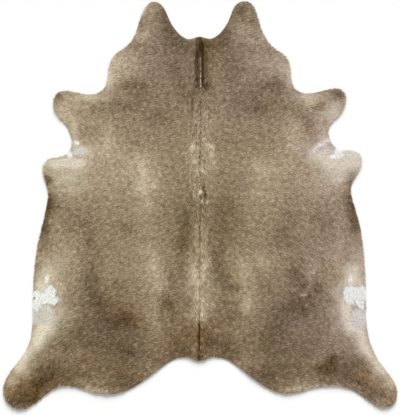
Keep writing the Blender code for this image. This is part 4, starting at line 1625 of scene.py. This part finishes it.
@dataclass(frozen=True)
class HideFinish:
    """Tanned cattle skin: the coat's colour with painted shade between the locks, suede on the flesh side.
    """

    shades: CoatShades
    tone_span: float
    name: str = "tanned cattle hide"
    # the painted shade of the skin between the locks, multiplied into the coat's colour
    painted_shade_between_locks: str = "#dad4ca"
    suede: str = "#cdb593"
    suede_dark: str = "#b0936d"
    cut_edge: str = "#6d563c"
    nap_length: float = 1.5 * MM
    nap_share: float = 0.35
    nap_relief: tuple[float, float] = (0.35, 0.5 * MM)
    blotch_size: float = 90 * MM
    roughness: tuple[float, float] = (0.78, 0.95)
    specular: float = 0.2

    def material(self) -> bpy.types.Material:
        """Builds the material: coat above, a brown cut edge, and a mottled napped underside.

        Returns:
            The material.
        """
        material, tree = new_tree(self.name)
        spot = add_node(tree, "ShaderNodeTexCoord").outputs["Object"]
        nap = add_node(
            tree,
            "ShaderNodeTexNoise",
            inputs={"Vector": spot, "Scale": 1 / self.nap_length, "Detail": 3.0, "Roughness": 0.6},
        )
        colour = self._colour(tree, spot, nap.outputs["Color"])
        constants = {"Specular IOR Level": self.specular}
        add_surface(tree, colour, nap.outputs[0], self.roughness, self.nap_relief, constants)
        return material

    def _colour(
        self, tree: bpy.types.NodeTree, spot: bpy.types.NodeSocket, nap: bpy.types.NodeSocket
    ) -> bpy.types.NodeSocket:
        """Adds the colour: the coat's, darkened by painted shade, then suede below it and brown at the cut.

        Args:
            tree: the node tree.
            spot: the place on the hide.
            nap: the pattern of the suede's nap, as a colour.

        Returns:
            The socket with the colour.
        """
        blotch = add_node(
            tree,
            "ShaderNodeTexNoise",
            inputs={"Vector": spot, "Scale": 1 / self.blotch_size, "Detail": 4.0, "Roughness": 0.55},
        )
        side = add_node(tree, "ShaderNodeAttribute", {"attribute_name": "flesh"})
        sides = add_node(tree, "ShaderNodeSeparateColor", inputs={0: side.outputs["Color"]})
        coat = self.shades.add(tree, self.tone_span)
        # Painted shade: the coat's colour is darker where the skin shows between the locks.
        painted_shade_between_locks = {SHARE: 1.0, UNDER: coat, OVER: linear(self.painted_shade_between_locks)}
        colour = add_node(tree, "ShaderNodeMix", Blend.TINT.settings, painted_shade_between_locks).outputs[BLENDED]
        tanned = {SHARE: blotch.outputs[0], UNDER: linear(self.suede), OVER: linear(self.suede_dark)}
        suede = add_node(tree, "ShaderNodeMix", Blend.COVER.settings, tanned).outputs[BLENDED]
        napped = {SHARE: self.nap_share, UNDER: suede, OVER: nap}
        below = add_node(tree, "ShaderNodeMix", Blend.TINT.settings, napped).outputs[BLENDED]
        for share, cover in ((sides.outputs[0], below), (sides.outputs[1], linear(self.cut_edge))):
            inputs = {SHARE: share, UNDER: colour, OVER: cover}
            colour = add_node(tree, "ShaderNodeMix", Blend.COVER.settings, inputs).outputs[BLENDED]
        return colour


@dataclass(frozen=True)
class PaperFinish:
    """White studio paper: matt, with the faintest grain."""

    name: str = "white studio paper"
    light: str = "#fafaf9"
    shade: str = "#f6f6f5"
    grain_size: float = 4 * MM
    roughness: float = 0.95
    specular: float = 0.1

    def material(self) -> bpy.types.Material:
        """Builds the material: two whites, mixed by the grain.

        Returns:
            The material.
        """
        material, tree = new_tree(self.name)
        spot = add_node(tree, "ShaderNodeTexCoord").outputs["Object"]
        grain = add_node(
            tree,
            "ShaderNodeTexNoise",
            inputs={"Vector": spot, "Scale": 1 / self.grain_size, "Detail": 2.0},
        )
        whites = {SHARE: grain.outputs[0], UNDER: linear(self.light), OVER: linear(self.shade)}
        colour = add_node(tree, "ShaderNodeMix", Blend.COVER.settings, whites).outputs[BLENDED]
        inputs = {"Base Color": colour, "Roughness": self.roughness, "Specular IOR Level": self.specular}
        shader = add_node(tree, "ShaderNodeBsdfPrincipled", inputs=inputs)
        add_node(tree, "ShaderNodeOutputMaterial", inputs={0: shader.outputs[0]})
        return material


# ---- The pieces ----


@dataclass
class HideSheet:
    """The tanned skin: one closed sheet, cut along the outline."""

    outline: Outline
    relief: Relief
    lie: HairLie
    colour: CoatColour
    finish: HideFinish
    rings_above: int = 44
    rings_below: int = 14
    crowding: float = 0.75  # below 1, the rings of the hair side crowd towards the cut edge
    inset: float = 2.5 * MM
    inset_under_hair: float = 3.5 * MM
    # The cut edge swells a little: the height of each of its rings, as a share of the skin, and its reach.
    cut_profile: tuple[tuple[float, float], ...] = ((0.75, 0.35 * MM), (0.4, 0.45 * MM))

    def build(self) -> bpy.types.Object:
        """Builds and dresses the sheet.

        A profile is carried round the outline: out along the hair side from the middle, round the cut
        edge, and back along the flesh side. Point (t, r) lies at the share r of the way from the
        middle to point t of the cut edge, at the height of the relief there.

        Returns:
            The sheet.
        """
        rim = self.outline.rim
        rings = self._rings()
        middle = np.zeros((1, 2))
        poles = np.array([[0, 0, self.relief.top(middle)[0]], [0, 0, self.relief.underside(middle)[0]]])
        places = np.concatenate([*rings, poles])
        triangles = self._triangles(len(rim), len(rings))
        mesh = triangle_mesh("hide_sheet", places, triangles, True)
        coat, pale = self.colour.at(places[:, :2], np.zeros(len(places)))
        put_colours(mesh, "coat", coat)
        put_colours(mesh, "pale", pale)
        hair, cut, flesh = range(3)
        counts = [self.rings_above, len(self.cut_profile), self.rings_below]
        side = np.append(np.repeat([hair, cut, flesh], np.multiply(counts, len(rim))), [hair, flesh])
        shares = np.zeros((len(places), 4))
        shares[:, 0], shares[:, 1] = side == flesh, side == cut
        put_colours(mesh, "flesh", shares)
        put_map(mesh, "OFBake", self._bake_map(places, side == flesh, rim), triangles)
        return new_object("hide_sheet", mesh, self.finish.material())

    def _rings(self) -> list[np.ndarray]:
        """The profile's rings, from the innermost on the hair side to the innermost on the flesh side.

        Returns:
            The places of each, shape (n, 3).
        """
        rim, outward = self.outline.rim, self.outline.outward()
        # The skin stops short of the outline, more so where hair hangs over its edge.
        hair = (self.lie.direction(rim) * outward).sum(axis=1).clip(0, 1)
        edge = rim - outward * (self.inset + self.inset_under_hair * hair)[:, None]
        rings = []
        for share in np.linspace(0, 1, self.rings_above + 1)[1:] ** self.crowding:
            flat = edge * share
            rings.append(np.column_stack([flat, self.relief.top(flat)]))
        low, high = self.relief.underside(edge), self.relief.top(edge)
        for part, out in self.cut_profile:
            rings.append(np.column_stack([edge + outward * out, low + part * (high - low)]))
        for share in np.linspace(1, 0, self.rings_below + 1)[:-1]:
            flat = edge * share
            rings.append(np.column_stack([flat, self.relief.underside(flat)]))
        return rings

    @staticmethod
    def _triangles(count: int, rings: int) -> np.ndarray:
        """Two triangles between each pair of neighbours on neighbouring rings, and a fan at each pole.

        Args:
            count: how many places a ring has.
            rings: how many rings there are.

        Returns:
            The corner numbers, shape (m, 3).
        """
        here = np.arange(count)
        after = (here + 1) % count
        ring = (np.arange(rings - 1) * count)[:, None]
        a, b = ring + here, ring + after
        c, d = a + count, b + count
        wall = np.stack([np.stack([a, c, b], -1), np.stack([b, c, d], -1)]).reshape(-1, 3)
        last = (rings - 1) * count
        top = np.stack([np.full(count, rings * count), here, after], axis=-1)
        bottom = np.stack([np.full(count, rings * count + 1), last + after, last + here], axis=-1)
        return np.concatenate([wall, top, bottom])

    @staticmethod
    def _bake_map(places: np.ndarray, is_below: np.ndarray, rim: np.ndarray) -> np.ndarray:
        """A map for baking: the hair side in the left half, the flesh side in the right half.

        Args:
            places: the sheet's places.
            is_below: which of them are on the flesh side.
            rim: the outline's loop.

        Returns:
            The map, for each place.
        """
        margin, gap = 5 * MM, 0.005
        low, size = rim.min(axis=0) - margin, np.ptp(rim, axis=0) + 2 * margin
        flat = (places[:, :2] - low) / size
        flat[:, 0] = flat[:, 0] * (0.5 - 2 * gap) + np.where(is_below, 0.5 + gap, gap)
        return flat


@dataclass
class HairLayer:
    """One layer of the coat: tufts of a few locks, each lock a flat spike that leans on the skin.

    Turns and the parting are in degrees, tones are steps of the coat's tone, and lengths are in metres.
    The tuft's and the lock's own turn and tone say how far each strays at random.
    """

    name: str
    seed: int
    outline: Outline
    relief: Relief
    lie: HairLie
    colour: CoatColour
    material: bpy.types.Material
    spacing: float = 14.2 * MM
    row_share: float = 0.866  # distance of two rows of tufts, against their spacing in a row
    scatter: float = 0.4  # how far a tuft is moved about, against that spacing
    locks: int = 3
    length: float = 13 * MM
    width: float = 4.8 * MM
    thinnest: float = 0.5  # the least of its width that a short lock keeps
    ridge: float = 0.5 * MM
    tip_rise: float = 0.6 * MM
    depth: float = 0.3 * MM
    spread_aside: float = 6.0 * MM
    spread_along: float = 7 * MM
    gather: float = 0.35
    overhang: float = 3.0 * MM
    edge_gap: float = 1.5 * MM
    ridge_share: float = 0.3  # where the ridge's top is, on the way from root to tip
    length_range: tuple[float, float] = (0.75, 1.2)
    width_range: tuple[float, float] = (0.75, 1.25)
    lift_range: tuple[float, float] = (0.6, 1.4)
    trim_range: tuple[float, float] = (0.3, 1.0)
    shortest: float = 0.15  # the least of its length that the trim leaves a lock
    tuft_tone: float = 0.07
    lock_tone: float = 0.13
    tone: float = 0.0
    parting: float = 0.0
    tuft_turn: float = 8.0
    lock_turn: float = 11.0

    def build(self) -> bpy.types.Object:
        """Builds and dresses the layer.

        A lock has four corners: two at its root, one on its ridge and one at its tip. Its root lies
        beside its tuft's middle, its tip is drawn part of the way to the tuft's own tip, and it points
        the way the hair lies there.

        Returns:
            The layer.
        """
        random = np.random.default_rng(self.seed)
        tufts = self._tufts(random)
        parting = self.parting * np.sign(tufts[:, 0] - SPINE_ACROSS)
        turn = parting + random.normal(0, self.tuft_turn, len(tufts))
        along = self._turned(self.lie.direction(tufts), np.radians(turn))
        tone = random.normal(0, self.tuft_tone, len(tufts))
        owner = np.repeat(np.arange(len(tufts)), self.locks)
        count = len(owner)
        forward = self._turned(along[owner], np.radians(random.normal(0, self.lock_turn, count)))
        aside = np.stack([-along[owner, 1], along[owner, 0]], axis=1)
        shift = random.uniform(-1, 1, count) * self.spread_aside
        back = random.uniform(-1, 1, count) * self.spread_along
        root = tufts[owner] + aside * shift[:, None] + along[owner] * back[:, None]
        length = self.length * random.uniform(*self.length_range, count)
        tip = root + forward * length[:, None] - aside * (self.gather * shift)[:, None]
        keep = self.outline.distance(root) > self.edge_gap
        root, tip, owner = root[keep], tip[keep], owner[keep]
        tip = self._held_in(root, tip, random)
        middle = (root + tip) / 2
        jitter = self.tone + tone[owner] + random.normal(0, self.lock_tone, len(root))
        coat, pale = self.colour.at(middle, jitter)
        places = self._corners(root, tip, random)
        mesh = triangle_mesh(self.name, places, self._triangles(len(root)), False)
        put_colours(mesh, "coat", np.repeat(coat, 4, axis=0))
        put_colours(mesh, "pale", np.repeat(pale, 4, axis=0))
        self._maps(mesh, len(root), random)
        return new_object(self.name, mesh, self.material)

    def _tufts(self, random: np.random.Generator) -> np.ndarray:
        """Middles of the tufts: a staggered field, each moved about at random, inside the outline.

        Args:
            random: the layer's random numbers.

        Returns:
            The middles, shape (n, 2).
        """
        reach = np.abs(self.outline.rim).max() + self.spacing
        rows = np.arange(-reach, reach, self.spacing * self.row_share)
        columns = np.arange(-reach, reach, self.spacing)
        x, y = np.meshgrid(columns, rows)
        x = x + (np.arange(len(rows)) % 2 * self.spacing / 2)[:, None]
        tufts = np.stack([x.ravel(), y.ravel()], axis=1)
        tufts += random.uniform(-self.scatter, self.scatter, tufts.shape) * self.spacing
        return tufts[self.outline.distance(tufts) > -self.spread_along]

    @staticmethod
    def _turned(direction: np.ndarray, angle: np.ndarray) -> np.ndarray:
        """Turns directions.

        Args:
            direction: the directions, shape (n, 2).
            angle: how far to turn each counterclockwise, in radians.

        Returns:
            The turned directions.
        """
        c, s = np.cos(angle), np.sin(angle)
        x, y = direction.T
        return np.stack([x * c - y * s, x * s + y * c], axis=1)

    def _held_in(self, root: np.ndarray, tip: np.ndarray, random: np.random.Generator) -> np.ndarray:
        """Tips pulled back towards their roots, so that none hangs out further than the coat's trim.

        Args:
            root: the locks' roots, shape (n, 2).
            tip: their tips.
            random: the layer's random numbers.

        Returns:
            The new tips.
        """
        trim = self.overhang * random.uniform(*self.trim_range, len(root))
        inside, out = self.outline.distance(root) + trim, self.outline.distance(tip) + trim
        share = np.where(out < 0, inside / np.maximum(inside - out, 1e-6), 1.0)
        return root + (tip - root) * np.clip(share, self.shortest, 1)[:, None]

    def _corners(self, root: np.ndarray, tip: np.ndarray, random: np.random.Generator) -> np.ndarray:
        """The four corners of each lock: its root's left and right, the top of its ridge, and its tip.

        Args:
            root: the locks' roots, shape (n, 2).
            tip: their tips.
            random: the layer's random numbers.

        Returns:
            The corners, shape (4n, 3).
        """
        run = tip - root
        length = np.linalg.norm(run, axis=1)[:, None]
        forward = run / length
        left = np.stack([-forward[:, 1], forward[:, 0]], axis=1)
        half = left * (self.width / 2 * random.uniform(*self.width_range, len(root)))[:, None]
        half *= np.clip(length / self.length, self.thinnest, 1)
        ridge = root + run * self.ridge_share
        lift = random.uniform(*self.lift_range, len(root))
        base = self.relief.top(root) - self.depth
        corners = [
            np.column_stack([root + half, base]),
            np.column_stack([root - half, base]),
            np.column_stack([ridge, self.relief.top(ridge) + self.ridge * lift]),
            np.column_stack([tip, self.relief.top(tip) + self.tip_rise * lift]),
        ]
        return np.stack(corners, axis=1).reshape(-1, 3)

    @staticmethod
    def _triangles(count: int) -> np.ndarray:
        """Root end, right side, left side and underside of each lock."""
        first = 4 * np.arange(count)[:, None, None]
        return (first + np.array([[0, 1, 2], [1, 3, 2], [3, 0, 2], [0, 3, 1]])).reshape(-1, 3)

    def _maps(self, mesh: bpy.types.Mesh, count: int, random: np.random.Generator) -> None:
        """Stores the map along each lock, and the map for baking, where each has a square of its own.

        Args:
            mesh: the layer's mesh.
            count: how many locks it has.
            random: the layer's random numbers.
        """
        triangles = self._triangles(count)
        shape = np.array([[0.0, 0.0], [1.0, 0.0], [0.5, self.ridge_share], [0.5, 1.0]])
        # Each lock starts somewhere else on the hairs' pattern, so that no two look the same.
        start = np.column_stack([random.uniform(0, 400, count), np.zeros(count)])
        put_map(mesh, "strand", (start[:, None] + shape).reshape(-1, 2), triangles)
        columns = int(np.ceil(np.sqrt(count)))
        number = np.arange(count)
        cell = np.column_stack([number % columns, number // columns])
        gap = 0.15
        baked = (cell[:, None] + gap + (1 - 2 * gap) * shape) / columns
        put_map(mesh, "OFBake", baked.reshape(-1, 2), triangles)


@dataclass
class CrestHair(HairLayer):
    """Longer hair on the ridge of the back: light and dark strands that part to both sides."""

    spacing: float = 7 * MM
    length: float = 17 * MM
    width: float = 3.4 * MM
    ridge: float = 0.7 * MM
    tip_rise: float = 1.2 * MM
    tuft_tone: float = 0.30
    lock_tone: float = 0.55
    parting: float = 10.0
    tuft_turn: float = 12.0
    lock_turn: float = 10.0
    reach: float = 30 * MM
    thick_from: float = 20 * MM
    thick_to: float = 540 * MM
    thin_share: float = 0.25
    fade: float = 12 * MM

    def _tufts(self, random: np.random.Generator) -> np.ndarray:
        """Middles of the tufts: thick between the shoulders, thin down the rest of the back.

        Args:
            random: the layer's random numbers.

        Returns:
            The middles, shape (n, 2).
        """
        tufts = super()._tufts(random)
        across, along = (tufts - (SPINE_ACROSS, 0)).T
        middle = (self.thick_from + self.thick_to) / 2
        past = np.abs(along - middle) - (self.thick_to - self.thick_from) / 2
        thin = np.where(along > middle, 0, self.thin_share)
        share = thin + (1 - thin) * step_down(past / self.fade)
        share = share * np.exp(-((across / self.reach) ** 2))
        return tufts[random.uniform(0, 1, len(tufts)) < share]


PHOTO_HEIGHT = 415  # pixels of the photo, from top to bottom
PIXEL = 5.2  # millimetres of the hide that one of them shows


@dataclass
class Studio:
    """A plain white floor, soft light from the neck end and all round, and the camera overhead.

    Heights and widths are in metres, the sensor is in millimetres, and angles are in degrees.
    """

    aim: tuple[float, float] = (-1.4 * MM, -11.4 * MM)
    camera_height: float = 8.0
    frame_height: float = PHOTO_HEIGHT * PIXEL * MM
    sensor: float = 36.0
    floor_half: float = 12.0
    key_elevation: float = 28.0
    key_bearing: float = -6.0
    key_strength: float = 3.9
    key_softness: float = 36.0
    fill_strength: float = 0.50

    def build(self) -> None:
        """Builds floor, lights and camera."""
        self._floor()
        self._lights()
        self._camera()

    def _floor(self) -> None:
        """A square floor at height 0."""
        half = self.floor_half
        corners = np.array([[-half, -half, 0], [half, -half, 0], [half, half, 0], [-half, half, 0]])
        mesh = triangle_mesh("floor", corners, np.array([[0, 1, 2], [0, 2, 3]]), False)
        new_object("floor", mesh, PaperFinish().material())

    def _lights(self) -> None:
        """A distant softbox beyond the neck, and an even white surround."""
        sun = bpy.data.lights.new("softbox", "SUN")
        sun.energy = self.key_strength
        sun.angle = np.radians(self.key_softness)
        key = bpy.data.objects.new("softbox", sun)
        key.rotation_euler = (-np.radians(90 - self.key_elevation), 0, np.radians(self.key_bearing))
        bpy.context.scene.collection.objects.link(key)
        world = bpy.data.worlds.new("surround")
        world.use_nodes = True
        back = world.node_tree.nodes["Background"]
        back.inputs["Color"].default_value = (1, 1, 1, 1)
        back.inputs["Strength"].default_value = self.fill_strength
        bpy.context.scene.world = world
        bpy.context.scene.view_settings.view_transform = "Standard"

    def _camera(self) -> None:
        """A long lens straight above the hide, with the neck end up."""
        data = bpy.data.cameras.new("overhead")
        data.sensor_width = self.sensor
        data.lens = self.sensor * self.camera_height / self.frame_height
        camera = bpy.data.objects.new("overhead", data)
        camera.location = (*self.aim, self.camera_height)
        bpy.context.scene.collection.objects.link(camera)
        bpy.context.scene.camera = camera


# ---- Putting it together ----

COAT_LAYERS: tuple[tuple[type[HairLayer], str, dict[str, float]], ...] = (
    (
        HairLayer,
        "undercoat_a",
        dict(seed=101, width=5.6 * MM, ridge=0.4 * MM, tip_rise=0.4 * MM, tone=-0.10),
    ),
    (
        HairLayer,
        "undercoat_b",
        dict(seed=102, width=5.2 * MM, ridge=0.45 * MM, tip_rise=0.5 * MM, tone=-0.05),
    ),
    (HairLayer, "guard_hair_a", dict(seed=103, tip_rise=0.7 * MM, tone=0.03)),
    (HairLayer, "guard_hair_b", dict(seed=104, width=4.2 * MM, tip_rise=0.9 * MM, tone=0.06)),
    (CrestHair, "crest_hair", dict(seed=105, tone=-0.08)),
)


def report(piece: bpy.types.Object) -> None:
    """Says in the log how many faces a piece has."""
    log.info("%s: %d faces", piece.name, len(piece.data.polygons))


def main() -> None:
    """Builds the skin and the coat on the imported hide, and the studio around them."""
    logging.basicConfig(level=logging.INFO, format="%(name)s: %(message)s")
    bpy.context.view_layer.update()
    outline = Outline.of_node(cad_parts[NODE], EDGE_POINTS)
    lie = HairLie()
    colour = CoatColour(outline, lie)
    parts = dict(outline=outline, relief=Relief(outline), lie=lie, colour=colour)
    shades = CoatShades()
    hide = HideSheet(**parts, finish=HideFinish(shades, colour.tone_span)).build()
    report(hide)
    hair = HairFinish(shades, colour.tone_span).material()
    coat = []
    for kind, name, sizes in COAT_LAYERS:
        coat.append(kind(name=name, material=hair, **parts, **sizes).build())
        report(coat[-1])
    for piece in (hide, *coat):
        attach(piece, "root")
    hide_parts(NODE)
    Studio().build()


if __name__ == "__main__":
    main()
